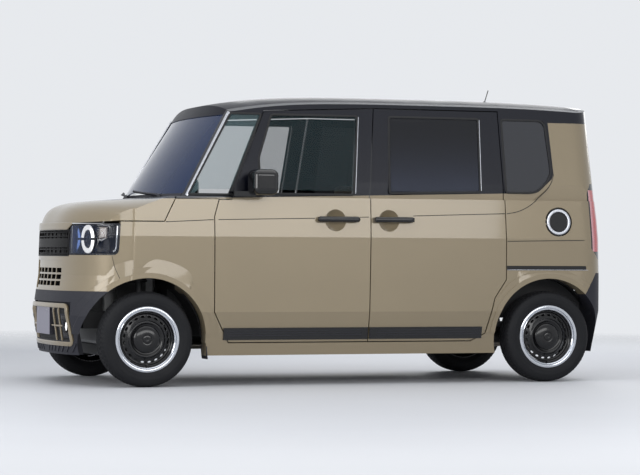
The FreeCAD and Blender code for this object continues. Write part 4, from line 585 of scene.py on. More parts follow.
def softPath(points, step, soften, closed=False):
    # a path through given points at even steps, its corners rounded by averaging along it twice
    points = np.asarray(points, float)
    run = np.concatenate([points, points[:1]]) if closed else points
    lengths = np.concatenate([[0], np.cumsum(np.linalg.norm(np.diff(run, axis=0), axis=1))])
    count = max(int(lengths[-1] / step), 4)
    at = np.linspace(0, lengths[-1], count + 1)[:-1] if closed else np.linspace(0, lengths[-1], count + 1)
    path = np.stack([np.interp(at, lengths, run[:, k]) for k in range(run.shape[1])], -1)
    reach = max(int(soften / step), 1)
    kernel = np.ones(2 * reach + 1) / (2 * reach + 1)
    for _ in range(2):
        before, after = path[-reach:], path[:reach]
        if not closed:
            before = 2 * path[0] - path[reach:0:-1]
            after = 2 * path[-1] - path[-2:-reach - 2:-1]
        padded = np.concatenate([before, path, after])
        path = np.stack([np.convolve(padded[:, k], kernel, "valid") for k in range(padded.shape[1])], -1)
    return path


def roundBar(width, height, soften=0.35):
    # a rounded rectangular section: a superellipse of power 4, as two columns
    turn = np.linspace(0, 2 * math.pi, 16, endpoint=False)
    power = 2 / (2 + 4 * (1 - soften))
    return np.stack([width / 2 * np.sign(np.cos(turn)) * np.abs(np.cos(turn)) ** power,
                     height / 2 * np.sign(np.sin(turn)) * np.abs(np.sin(turn)) ** power], -1)


def carried(path, across, out, section):
    # a section carried along a path of points, spread on the given across and outward directions
    path, across, out = (np.asarray(item, float) for item in (path, across, out))
    return path[:, None] + across[:, None] * section[None, :, :1] + out[:, None] * section[None, :, 1:]


def unit(vectors):
    return vectors / np.maximum(np.linalg.norm(vectors, axis=-1, keepdims=True), 1e-9)


def tangents(path, closed=False):
    if closed:
        return unit(np.roll(path, -1, 0) - np.roll(path, 1, 0))
    return unit(np.gradient(path, axis=0))


def onFlank(outline, width, high, sunk, closed, soften, surface=flankAt, step=0.008):
    # a bar laid along the side of the body: its path is drawn in side view and lifted onto the surface
    plan = softPath(outline, step, soften, closed)
    x, z = plan[:, 0], plan[:, 1]
    slopeX, slopeZ = slopes(surface, x, z)
    path = np.stack([x, surface(x, z), z], -1)
    out = unit(np.stack([-slopeX, np.ones_like(x), -slopeZ], -1))
    across = unit(np.cross(tangents(path, closed), out))
    section = roundBar(width, high + sunk) + np.array([0, (high - sunk) / 2])
    return carried(path, across, out, section)


def flankPieces(name, finish, slot, outline, *form, body="body_shell", **more):
    # one bar on each flank, as a left and a right piece; the body's name may leave a place for the side's
    closed = form[3]
    for (side, _), grid in zip(sides, bothSides(onFlank(outline, *form, **more))):
        owner = body.replace("%s", side)
        Shape().shell(grid, along=closed).piece("%s_%s" % (name, side), finish, slot, owner)


def lathe(profile, place, side, count, ridge=None):
    # a closed profile of radius and distance outboard, turned round an axle that runs across the car
    profile = np.asarray(profile, float)
    turn = np.linspace(0, 2 * math.pi, count, endpoint=False)[:, None]
    radius = np.broadcast_to(profile[:, 0], (count, len(profile)))
    if ridge is not None:
        radius = radius - ridge(turn, profile[:, 1][None])
    return np.stack([place[0] + radius * np.cos(turn), place[1] + side * profile[:, 1] + 0 * turn,
                     place[2] + radius * np.sin(turn)], -1)


# wheels: tyre with a cut tread, black steel disc with small holes, bright two-step trim ring
wheelSettings = {"frontX": 1.247, "rearX": -1.273, "side": 0.6525, "height": 0.275,
                 "tyreSteps": 256, "blocks": 64, "grooveDeep": 0.0045, "holes": 20}
tyreProfile = [(0.1795, 0.052), (0.1815, 0.0605), (0.186, 0.0655), (0.1925, 0.0672), (0.2005, 0.0715),
               (0.2095, 0.0745), (0.2100, 0.0752), (0.2112, 0.0752), (0.2118, 0.0747), (0.2215, 0.0768),
               (0.2300, 0.0770), (0.2306, 0.0774), (0.2320, 0.0774), (0.2326, 0.0768), (0.2420, 0.0755),
               (0.2520, 0.0728), (0.2600, 0.0690), (0.2655, 0.0645), (0.2692, 0.0590), (0.2715, 0.0530),
               (0.2730, 0.0468), (0.2737, 0.0410), (0.2700, 0.0402), (0.2700, 0.0348), (0.2741, 0.0340),
               (0.2745, 0.0280), (0.2748, 0.0225), (0.2750, 0.0172), (0.2704, 0.0164), (0.2704, 0.0086),
               (0.2750, 0.0078), (0.2750, 0.0)]


def treadCut(turn, across):
    # slots across the shoulders and middle ribs, cut where a slanted saw wave is low
    side = np.abs(across)
    phase = (turn * wheelSettings["blocks"] / (2 * math.pi) + across * 22) % 1
    slot = np.clip((0.16 - np.abs(phase - 0.5)) / 0.06, 0, 1)
    where = ((side > 0.043) & (side < 0.0665)) | ((side > 0.019) & (side < 0.032))
    return slot * where * wheelSettings["grooveDeep"]


def tyreGrid(place, side):
    outer = np.array(tyreProfile)
    other = outer[-2::-1] * [1, -1]
    inside = np.array([(0.1800, -0.046), (0.200, -0.064), (0.230, -0.0675), (0.252, -0.062), (0.262, -0.045),
                       (0.264, 0.0), (0.262, 0.045), (0.252, 0.062), (0.230, 0.0675), (0.200, 0.064),
                       (0.1800, 0.046)])
    profile = np.concatenate([outer, other, inside])
    return lathe(profile, place, side, wheelSettings["tyreSteps"], treadCut)


def discGrid(place, side):
    # the pressed disc on a grid round the axle: twenty cells, each with rings that go from square to round
    holes, perCell = wheelSettings["holes"], 8
    rows = np.array([(0.156, 0.052), (0.151, 0.037), (0.146, 0.031)]
                    + [(0.1405 - 0.0026 * k, 0.029 + 0.0008 * k) for k in range(9)]
                    + [(0.112, 0.0385), (0.105, 0.042), (0.1025, 0.0475), (0.0985, 0.049), (0.0955, 0.0475),
                       (0.092, 0.043), (0.084, 0.0405), (0.0795, 0.0405), (0.0775, 0.0455), (0.0735, 0.051),
                       (0.066, 0.0555), (0.054, 0.0595), (0.040, 0.062), (0.028, 0.063), (0.0265, 0.0620),
                       (0.0250, 0.0620), (0.0235, 0.063), (0.012, 0.0636), (0.0002, 0.0638)])
    count = holes * perCell
    turn = np.broadcast_to(np.arange(count) * 2 * math.pi / count, (len(rows), count)).copy()
    radius = np.broadcast_to(rows[:, :1], (len(rows), count)).copy()
    cell = (np.arange(count) % perCell - perCell / 2) / (perCell / 2)
    first = 3
    u = np.broadcast_to(cell, (9, count))
    v = np.broadcast_to(np.linspace(1, -1, 9)[:, None], (9, count))
    reach, length = np.maximum(np.abs(u), np.abs(v)), np.maximum(np.hypot(u, v), 1e-6)
    blend = np.clip((1 - reach) / 0.5, 0, 1)
    factor = 1 - blend + blend * reach / length
    middle, halfTurn = 0.1301, math.pi / holes
    turn[first:first + 9] += u * (factor - 1) * halfTurn
    radius[first:first + 9] = middle + (radius[first:first + 9] - middle) * factor
    grid = np.stack([place[0] + radius * np.cos(turn),
                     place[1] + side * np.broadcast_to(rows[:, 1:], turn.shape),
                     place[2] + radius * np.sin(turn)], -1)
    hole = (reach[:-1] <= 0.5) & (reach[1:] <= 0.5)
    gone = np.zeros((len(rows) - 1, count), bool)
    gone[first:first + 8] = hole & np.roll(hole, -1, 1)
    return grid, gone


def wheelPieces(end, side, sign, x):
    place = (x, sign * wheelSettings["side"], wheelSettings["height"])
    name, body = "%s_%s" % (end, side), "wheel_%s_%s" % (end, side)
    Shape().shell(tyreGrid(place, sign), along=True).piece(
        "tyre_tread_" + name, "tyre", "tyre_rubber", body, crease=28, replaces=["tyre_" + name])
    grid, gone = discGrid(place, sign)
    disc = Shape()
    rows, columns = grid.shape[:2]
    index = np.arange(rows * columns).reshape(rows, columns)
    index = np.concatenate([index, index[:, :1]], 1)
    quads = np.stack([index[:-1, :-1], index[:-1, 1:], index[1:, 1:], index[1:, :-1]], -1)[~gone]
    disc.points, disc.count = [grid.reshape(-1, 3)], rows * columns
    disc.faces = (quads if sign > 0 else quads[:, ::-1]).tolist()
    disc.piece("wheel_disc_" + name, "wheelBlack", "wheel_steel", body, crease=50, solid=0.003)
    barrel = [(0.1800, 0.0600), (0.1775, 0.0640), (0.1640, 0.0560), (0.1600, 0.0480), (0.1560, 0.0420),
              (0.1520, 0.0200), (0.1500, -0.0300), (0.1600, -0.0480), (0.1740, -0.0560), (0.1790, -0.0630),
              (0.1890, -0.0630), (0.1890, -0.0610), (0.1790, -0.0590), (0.1775, -0.0540), (0.1640, -0.0440),
              (0.1540, -0.0260), (0.1560, 0.0200), (0.1600, 0.0400), (0.1640, 0.0460), (0.1690, 0.0500),
              (0.1785, 0.0560)]
    Shape().shell(lathe(barrel, place, sign, 96), along=True).piece(
        "rim_barrel_" + name, "wheelBlack", "wheel_steel", body, crease=30, replaces=["rim_" + name])
    ring = [(0.1905, 0.0655), (0.1885, 0.0690), (0.1840, 0.0710), (0.1775, 0.0716), (0.1735, 0.0704),
            (0.1718, 0.0672), (0.1712, 0.0640), (0.1700, 0.0640), (0.1690, 0.0672), (0.1662, 0.0684),
            (0.1628, 0.0662), (0.1596, 0.0600), (0.1574, 0.0520), (0.1566, 0.0460), (0.1580, 0.0460),
            (0.1600, 0.0530), (0.1640, 0.0620), (0.1720, 0.0625), (0.1840, 0.0660)]
    Shape().shell(lathe(ring, place, sign, 128), along=True).piece(
        "trim_ring_" + name, "chrome", "wheel_steel", body, crease=32)
    # the brake disc behind the wheel's holes, and the tyre's valve
    rotor = [(0.118, 0.008), (0.118, -0.004), (0.060, -0.004), (0.060, 0.008)]
    Shape().shell(lathe(rotor, place, sign, 72), along=True).piece(
        "brake_rotor_" + name, "brakeDisc", "wheel_steel", body, crease=30)
    stem = lathe([(0.0040, 0.046), (0.0040, 0.062), (0.0030, 0.070), (0.0001, 0.0705), (0.0001, 0.046)],
                 (place[0], place[1], place[2] - 0.147), sign, 12)
    Shape().shell(stem, along=True).piece("valve_" + name, "seal", "tyre_rubber", body)


for end in ("front", "rear"):
    for side, sign in sides:
        wheelPieces(end, side, sign, wheelSettings[end + "X"])
print("wheels made")


# lines, seals and bright strips along the side of the body; painted shade along its creases
sideLines = {
    "crease_shade_door": ("front_door_%s_body", [(0.826, 0.9655), (0.235, 0.979)]),
    "crease_shade_door_rear": ("front_door_%s_body", [(-0.048, 0.9875), (-0.104, 0.989)]),
    "crease_shade_wing": ("body_shell", [(1.142, 0.9505), (0.855, 0.9650)]),
    "crease_shade_slide": ("body_shell", [(-0.388, 0.9985), (-0.984, 1.018)]),
    "crease_shade_quarter": ("body_shell", [(-0.996, 1.018), (-1.064, 1.027), (-1.145, 1.062), (-1.215, 1.118),
                                      (-1.280, 1.171), (-1.311, 1.215), (-1.326, 1.262)]),
    "seam_quarter": ("body_shell", [(-0.996, 0.8515), (-1.536, 0.861)])}
windowOutlines = {
    "front_door": [(0.562, 1.120), (0.563, 1.332), (0.472, 1.588), (-0.069, 1.590), (-0.019, 1.120)],
    "sliding": [(-0.245, 1.132), (-0.268, 1.591), (-0.849, 1.591), (-0.832, 1.146)],
    "quarter": [(-1.002, 1.146), (-0.999, 1.590), (-1.252, 1.590), (-1.279, 1.576), (-1.290, 1.552),
                (-1.309, 1.290), (-1.306, 1.262), (-1.279, 1.215), (-1.237, 1.176), (-1.208, 1.155),
                (-1.162, 1.146)],
    "fly": [(1.000, 1.112), (0.752, 1.112), (0.534, 1.590), (0.722, 1.590)]}


def glassSide(x, z):
    # the outside of the greenhouse's side; toward the windscreen pillar it turns in
    x, rise = np.asarray(x, float), glassRise(z)
    half = bodyForm["glassHalf"] - bodyForm["glassDraw"] * rise
    (footX, footY), (headX, headY) = bodyForm["postFoot"], bodyForm["postHead"]
    near = np.clip((x - footX - (headX - footX) * rise) / bodyForm["postDepth"] + 1, 0, 1)
    tail = np.clip((-x - bodyForm["halfLength"] + 0.034) / bodyForm["tailSweep"] + 1, 0, 1)
    inward = (half - footY - (headY - footY) * rise) * near ** 2.2
    return (half - inward) * drawnIn(tail, bodyForm["tailPower"])


def pillarSide(x, z):
    # the windscreen pillar's outer edge, a straight line that leans in and back
    foot, head = bodyForm["postFoot"][1], bodyForm["postHead"][1]
    return foot + (head - foot) * glassRise(z) + 0 * np.asarray(x, float)


def sideTrims():
    # seals round the windows, bright strips at the rear edges of the door glass and along the pillar
    doors = {"front_door": "front_door_%s_body"}
    for key, outline in windowOutlines.items():
        flankPieces("seal_" + key, "seal", "black_plastic", outline, 0.013, 0.0026, 0.004, True, 0.014,
                    body=doors.get(key, "body_shell"), surface=glassSide)
    strips = {"front_door": [(-0.028, 1.128), (-0.073, 1.584)], "sliding": [(-0.838, 1.154), (-0.854, 1.584)]}
    for key, outline in strips.items():
        flankPieces("edge_strip_" + key, "silver", "gloss_black", outline, 0.0045, 0.0042, 0.001, False, 0.01,
                    body=doors.get(key, "body_shell"), surface=glassSide)
    flankPieces("pillar_strip", "silver", "gloss_black", [(1.010, 1.104), (0.729, 1.5985)],
                0.017, 0.004, 0.006, False, 0.01, surface=pillarSide)
    # dark strips: painted shade along the creases, and a real joint along the quarter's seam
    for name, (body, outline) in sideLines.items():
        flankPieces(name, "seal", "black_plastic", outline, 0.0045, 0.0010, 0.004, False, 0.03, body=body)


sideTrims()
print("side lines, seals and strips made")


# small forms used by many pieces
def turned(profile, place, axis, count=48):
    # a profile of radius and distance along an axis, turned round it; it starts and ends on the axis
    axis = unit(np.asarray(axis, float))
    across = unit(np.cross(axis, (0.31, 0.2, 0.9)))
    turn = np.linspace(0, 2 * math.pi, count, endpoint=False)[:, None, None]
    profile = np.asarray(profile, float)
    ray = np.cos(turn) * across + np.sin(turn) * np.cross(axis, across)
    return np.asarray(place, float) + profile[None, :, 1:] * axis + profile[None, :, :1] * ray


def bar(start, end, width, high, side, edge=0.25):
    # a straight bar whose section is a soft rectangle that draws in over its rounded ends
    start, end, side = (np.asarray(item, float) for item in (start, end, side))
    along = unit(end - start)
    across = unit(side - along * (side @ along))
    out, long = np.cross(along, across), np.linalg.norm(end - start)
    reach = min(width, high, long) * edge
    share = np.array([0, 0.12, 0.4, 1])
    at = np.concatenate([share * reach, long - share[::-1] * reach])
    drawn = 2 * reach * (1 - np.sqrt(1 - (1 - share) ** 2))
    drawn = np.concatenate([drawn, drawn[::-1]])[:, None, None]
    section = roundBar(width, high, 0.2)
    return (start + at[:, None, None] * along + across * section[None, :, :1] * (width - drawn) / width
            + out * section[None, :, 1:] * (high - drawn) / high)


def slab(low, high, edge=0.3):
    # a block with soft edges between two corners
    low, high = np.asarray(low, float), np.asarray(high, float)
    size, middle = high - low, (low + high) / 2
    start, end = middle - [size[0] / 2, 0, 0], middle + [size[0] / 2, 0, 0]
    return bar(start, end, size[1], size[2], (0, 1, 0), edge)


def sheetPiece(name, grids, finish, slot, thick, body="body_shell", replaces=()):
    # open sheets given a wall
    made = Shape()
    for grid in grids:
        made.shell(grid, around=False, closed=False)
    return made.piece(name, finish, slot, body, replaces=replaces, solid=thick)


def sheetPair(name, grid, *form, **more):
    # a sheet and its mirror image; the rows of the first run the other way, so that both face out
    return sheetPiece(name, [grid[::-1], mirrored(grid)], *form, **more)


def spread(count):
    # shares from nought to one that crowd toward both ends
    share, pull = np.linspace(0, 1, count), 0.7
    return share * (1 - pull) + (0.5 - 0.5 * np.cos(math.pi * share)) * pull


# headlamps: a dark tub under a clear cover, a broken ring of light, a projector, fins, a smoked block
headlampForm = {"inner": 0.3860, "low": 0.7585, "high": 0.9365, "core": (1.43, 0.455), "deep": 0.60,
                "edgeHeights": [0.757, 0.7592, 0.7659, 0.777, 0.7925, 0.938],
                "edgePlaces": [1.4456, 1.4299, 1.4183, 1.4109, 1.4076, 1.398],
                "ring": (1.545, 0.515, 0.8495), "ringTurn": 14, "ringRadius": 0.0685, "ringWide": 0.027,
                "ringNarrow": 0.90, "block": ((0.60, 0.79), (0.50, 0.93))}


def lampPatch(u, v, inset):
    # a point of the lamp's window: u runs from its inner side round to the wing, v from foot to head
    form, half = headlampForm, bodyForm["halfWidth"] - inset
    z = form["low"] + (form["high"] - form["low"]) * v
    half = half - level(z, "tuck")
    tip = bodyForm["halfLength"] - level(z, "noseBack") - inset
    first = np.arcsin((form["inner"] / half) ** 1.35)
    place = np.interp(z, form["edgeHeights"], form["edgePlaces"]) + 0.0012
    last = np.arccos(np.clip(1 - (tip - place) / bodyForm["noseSweep"], 0, 1) ** 1.35)
    return noseAt(first + (last - first) * u, z, inset)


def lampBar(share, depth, section, closed=False):
    # a bar under the lamp's cover along a path of shares, as a grid
    share = np.asarray(share, float)
    path = lampPatch(share[:, 0], share[:, 1], depth)
    out = unit(path - lampPatch(share[:, 0], share[:, 1], depth + 0.010))
    return carried(path, unit(np.cross(tangents(path, closed), out)), out, section)


def headlamps():
    form = headlampForm
    u, v = np.meshgrid(spread(72), spread(40), indexing="ij")
    skin = lampPatch(u, v, 0.0022)
    wall = np.clip(np.minimum(np.minimum(u, 1 - u) / 0.05, np.minimum(v, 1 - v) / 0.07), 0, 1)[..., None]
    inward = (np.array([*form["core"], 0]) - skin) * np.array([1, 1, 0])
    sheetPair("lamp_tubs", skin + inward * form["deep"] * wall ** 0.8, "navyDark", "lamp_glass", 0.002,
              replaces=["headlamps"])
    sheetPair("lamp_covers", lampPatch(u, v, 0.0006), "lampGlass", "lamp_glass", 0.0012)
    # the frame: a dark border under the cover, and bright lines along its outer and inner sides
    up, along = np.linspace(0.02, 0.98, 30), np.linspace(0.02, 0.98, 50)
    border = ([(0.012, t) for t in up] + [(t, 0.982) for t in along]
              + [(0.988, t) for t in up[::-1]] + [(t, 0.018) for t in along[::-1]])
    Shape().pair(lampBar(border, 0.0030, roundBar(0.006, 0.004), True), along=True).piece(
        "lamp_borders", "gloss", "lamp_glass")
    outer = [(0.958, t) for t in np.linspace(0.93, 0.22, 30)] + [(0.945, 0.14), (0.92, 0.09)]
    inner = [(0.03, t) for t in np.linspace(0.94, 0.06, 30)]
    lines = Shape()
    for share, width in ((outer, 0.0085), (inner, 0.004)):
        lines.pair(lampBar(share, 0.006, roundBar(width, 0.004)))
    lines.piece("lamp_lines", "chrome", "lamp_glass")
    # the ring of light, broken at both sides, and the dark projector inside it
    turn = math.radians(form["ringTurn"])
    facing = np.array([math.cos(turn), math.sin(turn), 0])
    lateral = np.array([-math.sin(turn), math.cos(turn), 0]) * form["ringNarrow"]
    centre = np.array(form["ring"])

    def hoop(degrees, radius, section, back=0.0):
        angle = np.radians(degrees)[:, None]
        ray = np.cos(angle) * lateral + np.sin(angle) * np.array([0, 0, 1])
        return carried(centre + facing * back + ray * radius, ray, np.broadcast_to(facing, ray.shape),
                       section)

    light, holder = Shape(), Shape()
    for start in (7, 187):
        light.pair(hoop(np.linspace(start, start + 166, 72), form["ringRadius"],
                        roundBar(form["ringWide"], 0.022, 0.5)))
    light.piece("lamp_rings", "lampWhite", "lamp_glass")
    for radius, wide, back in ((0.0505, 0.004, 0.0), (0.0865, 0.006, -0.002), (0.034, 0.005, -0.004)):
        holder.pair(hoop(np.linspace(0, 360, 72, endpoint=False), radius, roundBar(wide, 0.012), back),
                    along=True)
    holder.piece("lamp_holders", "satinDark", "lamp_glass")
    dome = [(0, -0.030), (0.046, -0.030), (0.047, -0.010), (0.033, -0.008), (0.032, 0.0), (0.028, 0.006),
            (0.020, 0.011), (0.010, 0.0135), (0, 0.014)]
    Shape().spinPair(dome, centre - facing * 0.004, facing).piece("lamp_projectors", "gloss", "lamp_glass")
    # bright fins on the inner side, and the smoked block with its bracket on the outer side
    fins, bracket = Shape(), Shape()
    for place in (0.035, 0.070, 0.105, 0.140):
        foot, head = (lampPatch(np.array(place), np.array(share), 0.024) for share in (0.07, 0.93))
        fins.pair(bar(foot, head, 0.030, 0.0035, (0.9, 0.25, 0)))
    # chrome fins whose blue tint is a painted reflection
    fins.piece("lamp_fins", "chromeWithPaintedSky", "lamp_glass")
    (s0, s1), (t0, t1) = form["block"]
    s, t = plane((s0, s1), (t0, t1), 20, 16)
    fall = np.clip(np.minimum(np.minimum(s - s0, s1 - s) / 0.03, np.minimum(t - t0, t1 - t) / 0.05), 0, 1)
    front, back = lampPatch(s, t, 0.0125), lampPatch(s, t, 0.0235)
    sheetPair("lamp_blocks", front + (back - front) * (1 - fall[..., None]) ** 2, "smoke", "lamp_glass",
              0.010)
    for start, end in (((0.58, 0.965), (0.80, 0.955)), ((0.80, 0.955), (0.83, 0.86)),
                       ((0.62, 0.49), (0.69, 0.47)), ((0.69, 0.47), (0.74, 0.53))):
        a, b = (lampPatch(np.array(p[0]), np.array(p[1]), 0.011) for p in (start, end))
        bracket.pair(bar(a, b, 0.004, 0.006, (0, 0, 1)))
    bracket.piece("lamp_brackets", "silver", "lamp_glass")


headlamps()
print("headlamps made")


# fog lamps that face forward in dark pods, and ribs under the chin
fogForm = {"side": 0.386, "height": 0.345,
           "lens": [(0, -0.030), (0.0300, -0.030), (0.0305, -0.004), (0.028, 0.0), (0.018, 0.0022),
                    (0, 0.0030)],
           "bezel": [(0.0300, -0.030), (0.0345, -0.030), (0.0345, 0.004), (0.0325, 0.0055), (0.0305, 0.003),
                     (0.0300, -0.030)],
           "pod": ((0.352, 0.418), (0.282, 0.408)), "podEdge": 0.014}


def frontPieces():
    side, height = fogForm["side"], fogForm["height"]
    centre = (float(noseX(side, height)) - 0.008, side, height)
    Shape().spinPair(fogForm["lens"], centre, (1, 0, 0)).piece(
        "fog_lenses", "lampWhite", "lamp_glass", replaces=["fog_lamps"])
    Shape().spinPair(fogForm["bezel"], centre, (1, 0, 0)).piece("fog_bezels", "gloss", "lamp_glass")
    # ribs that lean outward along the lower edge of the skirt
    ribs = Shape()
    for place in np.linspace(0.06, 0.42, 7):
        foot, head = ((float(noseX(y, z)) + 0.0005, y, z)
                      for y, z in ((place, 0.196), (place + 0.045, 0.246)))
        ribs.pair(bar(foot, head, 0.016, 0.007, (0, 1, 0.2)))
    ribs.piece("chin_ribs", "trimPlastic", "black_plastic")


frontPieces()


# raised flares over the wheel arches: a slope from the arch's lip out to the flank
# each flare's first and last angle, and the angles over which it draws in at both ends
flareForm = {"inner": 0.3815, "outer": 0.463, "least": 0.002, "rise": 0.0078, "sunk": 0.004,
             "rearTall": 0.396, "arcs": {"frontX": (46, 131, 20, 13), "rearX": (58, 128, 14, 16)}}


def flare(axleX, first, last, softFirst, softLast):
    angle = np.radians(np.linspace(first, last, 90))[:, None]
    form, wide = flareForm, flareForm["outer"] - flareForm["inner"]
    tip = (rounded((np.degrees(angle) - first) / softFirst) * rounded((last - np.degrees(angle)) / softLast))
    outer = form["inner"] + form["least"] + (wide - form["least"]) * tip
    if axleX < 0:
        # the rear flare stays below the sliding door's runner
        outer = np.minimum(outer, form["rearTall"] / np.sin(angle))
    share = np.linspace(0, 1, 10)[None]
    radius = form["inner"] + (outer - form["inner"]) * share
    x, z = axleX + radius * np.cos(angle), wheelSettings["height"] + radius * np.sin(angle)
    top = np.stack([x, flankAt(x, z) + form["rise"] * (1 - share), z], -1)
    base = np.stack([x, flankAt(x, z) - form["sunk"], z], -1)
    return np.concatenate([top, base[:, ::-1]], 1)


def flareSide(x, z):
    # the flank with the front flare's rise on it
    form = flareForm
    away = np.hypot(x - wheelSettings["frontX"], z - wheelSettings["height"])
    share = np.clip((form["outer"] - away) / (form["outer"] - form["inner"]), 0, 1)
    return flankAt(x, z) + form["rise"] * share


def arches():
    made, seams = Shape(), Shape()
    for axle, arc in flareForm["arcs"].items():
        made.pair(flare(wheelSettings[axle], *arc))
    made.piece("arch_flares", "khaki", "body_paint", crease=50)
    # the seam between wing and bumper
    seams.pair(onFlank([(1.4456, 0.757), (1.431, 0.684), (1.407, 0.6235)], 0.0030, 0.0008, 0.003, False, 0.01,
                       flareSide))
    seams.piece("wing_seams", "seal", "black_plastic")


arches()


# side details: runner in the rear quarter, fuel lid rings, moulding lines, handle grips, mirror glass
sideForm = {"runner": ((-0.994, 0.690), (-1.572, 0.690)), "runnerLipHighlight": ((-0.996, 0.6790), (-1.570, 0.6790)),
            "lid": (-1.339, 0.971), "lineHeights": (0.292, 0.306, 0.320), "lineOut": 0.0075,
            "gripHeight": 0.974, "gripOut": 0.026, "gripRadius": 0.0172, "ringIn": 0.052,
            "mirrorX": (0.5035, 0.5062), "mirrorY": (0.754, 0.838), "mirrorZ": (1.150, 1.216)}
# each door's body, the ends of its moulding's lines, and its grip's middle and half length
doorForm = {"door": ("front_door_%s_body", (0.800, -0.098), (0.092, 0.132)),
            "slide": ("body_shell", (-0.128, -0.852), (-0.257, 0.126))}


def lifted(lift):
    return lambda x, z: flankAt(x, z) + lift


def sideDetails():
    form = sideForm
    Shape().pair(onFlank(form["runner"], 0.0275, 0.0009, 0.001, False, 0.01, lifted(-0.0018))).piece(
        "runner_beds", "seal", "black_plastic")
    # the runner's lower lip, its bright silver a painted highlight
    Shape().pair(onFlank(form["runnerLipHighlight"], 0.0030, 0.0012, 0.001, False, 0.01, lifted(-0.0010))).piece(
        "runner_lip_highlights", "silver", "gloss_black")
    angle = np.linspace(0, 2 * math.pi, 72, endpoint=False)
    ray = np.stack([np.cos(angle), np.sin(angle)], -1)
    for name, radius, width, high, finish in (("lid_ring", 0.0700, 0.0160, 0.0026, "silver"),
                                              ("lid_inner_ring", 0.0560, 0.0040, 0.0016, "satinDark")):
        grid = onFlank(form["lid"] + radius * ray, width, high, 0.001, True, 0.004, step=0.006)
        Shape().shell(grid, along=True).piece(name, finish, "gloss_black", "fuel_lid_body")
    for name, (body, (start, end), _) in doorForm.items():
        for side, sign in sides:
            lines = Shape()
            for z in form["lineHeights"]:
                ends = [(start - 0.03, z), (end + 0.03, z + 0.004)]
                grid = onFlank(ends, 0.0035, 0.0016, 0.001, False, 0.01, lifted(form["lineOut"]))
                lines.shell(grid if sign > 0 else mirrored(grid))
            lines.piece("moulding_lines_%s_%s" % (name, side), "trimPlastic", "black_plastic",
                        body.replace("%s", side))
    # round grips over the handles: a rod with domed ends, and a fine ring near its front end
    turn = np.linspace(0, math.pi / 2, 8)
    dome, reach = form["gripRadius"] * np.sin(turn), form["gripRadius"] * (1 - np.cos(turn))
    cap = [(0, -0.001), (0.0174, -0.001), (0.0179, 0), (0.0174, 0.001), (0, 0.001)]
    z = form["gripHeight"]
    for name, (body, _, (middle, half)) in doorForm.items():
        profile = np.concatenate([np.stack([dome, reach - half], -1),
                                  np.stack([dome, half - reach], -1)[::-1]])
        for side, sign in sides:
            owner, y = body.replace("%s", side), sign * (float(flankAt(middle, z)) + form["gripOut"])
            Shape().spin(profile, (middle, y, z), (1, 0, 0), 40).piece(
                "handle_grip_%s_%s" % (name, side), "gloss", "gloss_black", owner)
            Shape().spin(cap, (middle - half + form["ringIn"], y, z), (1, 0, 0), 40).piece(
                "handle_ring_%s_%s" % (name, side), "satinDark", "gloss_black", owner)
    # the glass on each mirror's rear face
    for side, sign in sides:
        inner, outer = sorted(sign * y for y in form["mirrorY"])
        low, high = zip(form["mirrorX"], (inner, outer), form["mirrorZ"])
        Shape().shell(slab(low, high, 0.4)).piece(
            "mirror_glass_" + side, "chrome", "gloss_black", "front_door_%s_body" % side)


sideDetails()
print("front, arches and side details made")


# upper grille, bonnet lip and the ladder frame low in the bumper
def shareIn(a, low, high, edge):
    # how far a place is from the nearer end of its range, in shares of an edge's width
    return np.minimum(a - low, high - a) / edge


def softPlane(first, second, rows, columns, edge):
    # a grid over two ranges, with a share that falls softly from one to nought at its border
    a, b = plane(first, second, rows, columns)
    return a, b, rounded(np.minimum(shareIn(a, *first, edge), shareIn(b, *second, edge)))


def noseSheet(yRange, zRange, lift):
    # a patch of the nose raised by a lift that falls to 3 mm below the nose at its edges
    y, z, soft = softPlane(yRange, zRange, 80, 14, 0.006)
    return np.stack([noseX(y, z) - 0.003 + (lift + 0.003) * soft, y, z], -1)


def noseBar(points, width, high, lift, closed=False, soften=0.006):
    # a bar that follows the nose: its path is drawn in front view, place across and height
    plan = softPath(points, 0.008, soften, closed)
    y, z = plan[:, 0], plan[:, 1]
    path = np.stack([noseX(y, z) + lift, y, z], -1)
    slopeY, slopeZ = slopes(noseX, y, z)
    out = unit(np.stack([np.ones_like(y), -slopeY, -slopeZ], -1))
    return carried(path, unit(np.cross(tangents(path, closed), out)), out, roundBar(width, high))


# slats across as height, half length, width, depth and lift; posts as place, foot, head and the same three
grilleForm = {"slats": [(z, 0.372, 0.0075, 0.010, -0.008) for z in (0.766, 0.790, 0.866, 0.890)]
                       + [(z, 0.380, 0.010, 0.012, -0.004) for z in (0.754, 0.902)],
              "posts": [(y, *ends, 0.006, 0.008, -0.011) for ends in ((0.757, 0.802), (0.852, 0.900))
                        for y in np.linspace(-0.330, 0.330, 8)]
                       + [(y, 0.754, 0.902, 0.010, 0.012, -0.004) for y in (-0.377, 0.377)],
              "panel": ((-0.371, 0.371), (0.800, 0.854), -0.0035),
              "back": ((-0.383, 0.383), (0.7515, 0.9050), -0.028),
              "lipHalf": 0.405, "lipLow": 0.9045, "lipHigh": 0.9465, "lipRise": 0.030,
              "lipTurn": (0.345, 0.055), "lipOut": 0.0022, "lipSunk": 0.0006}


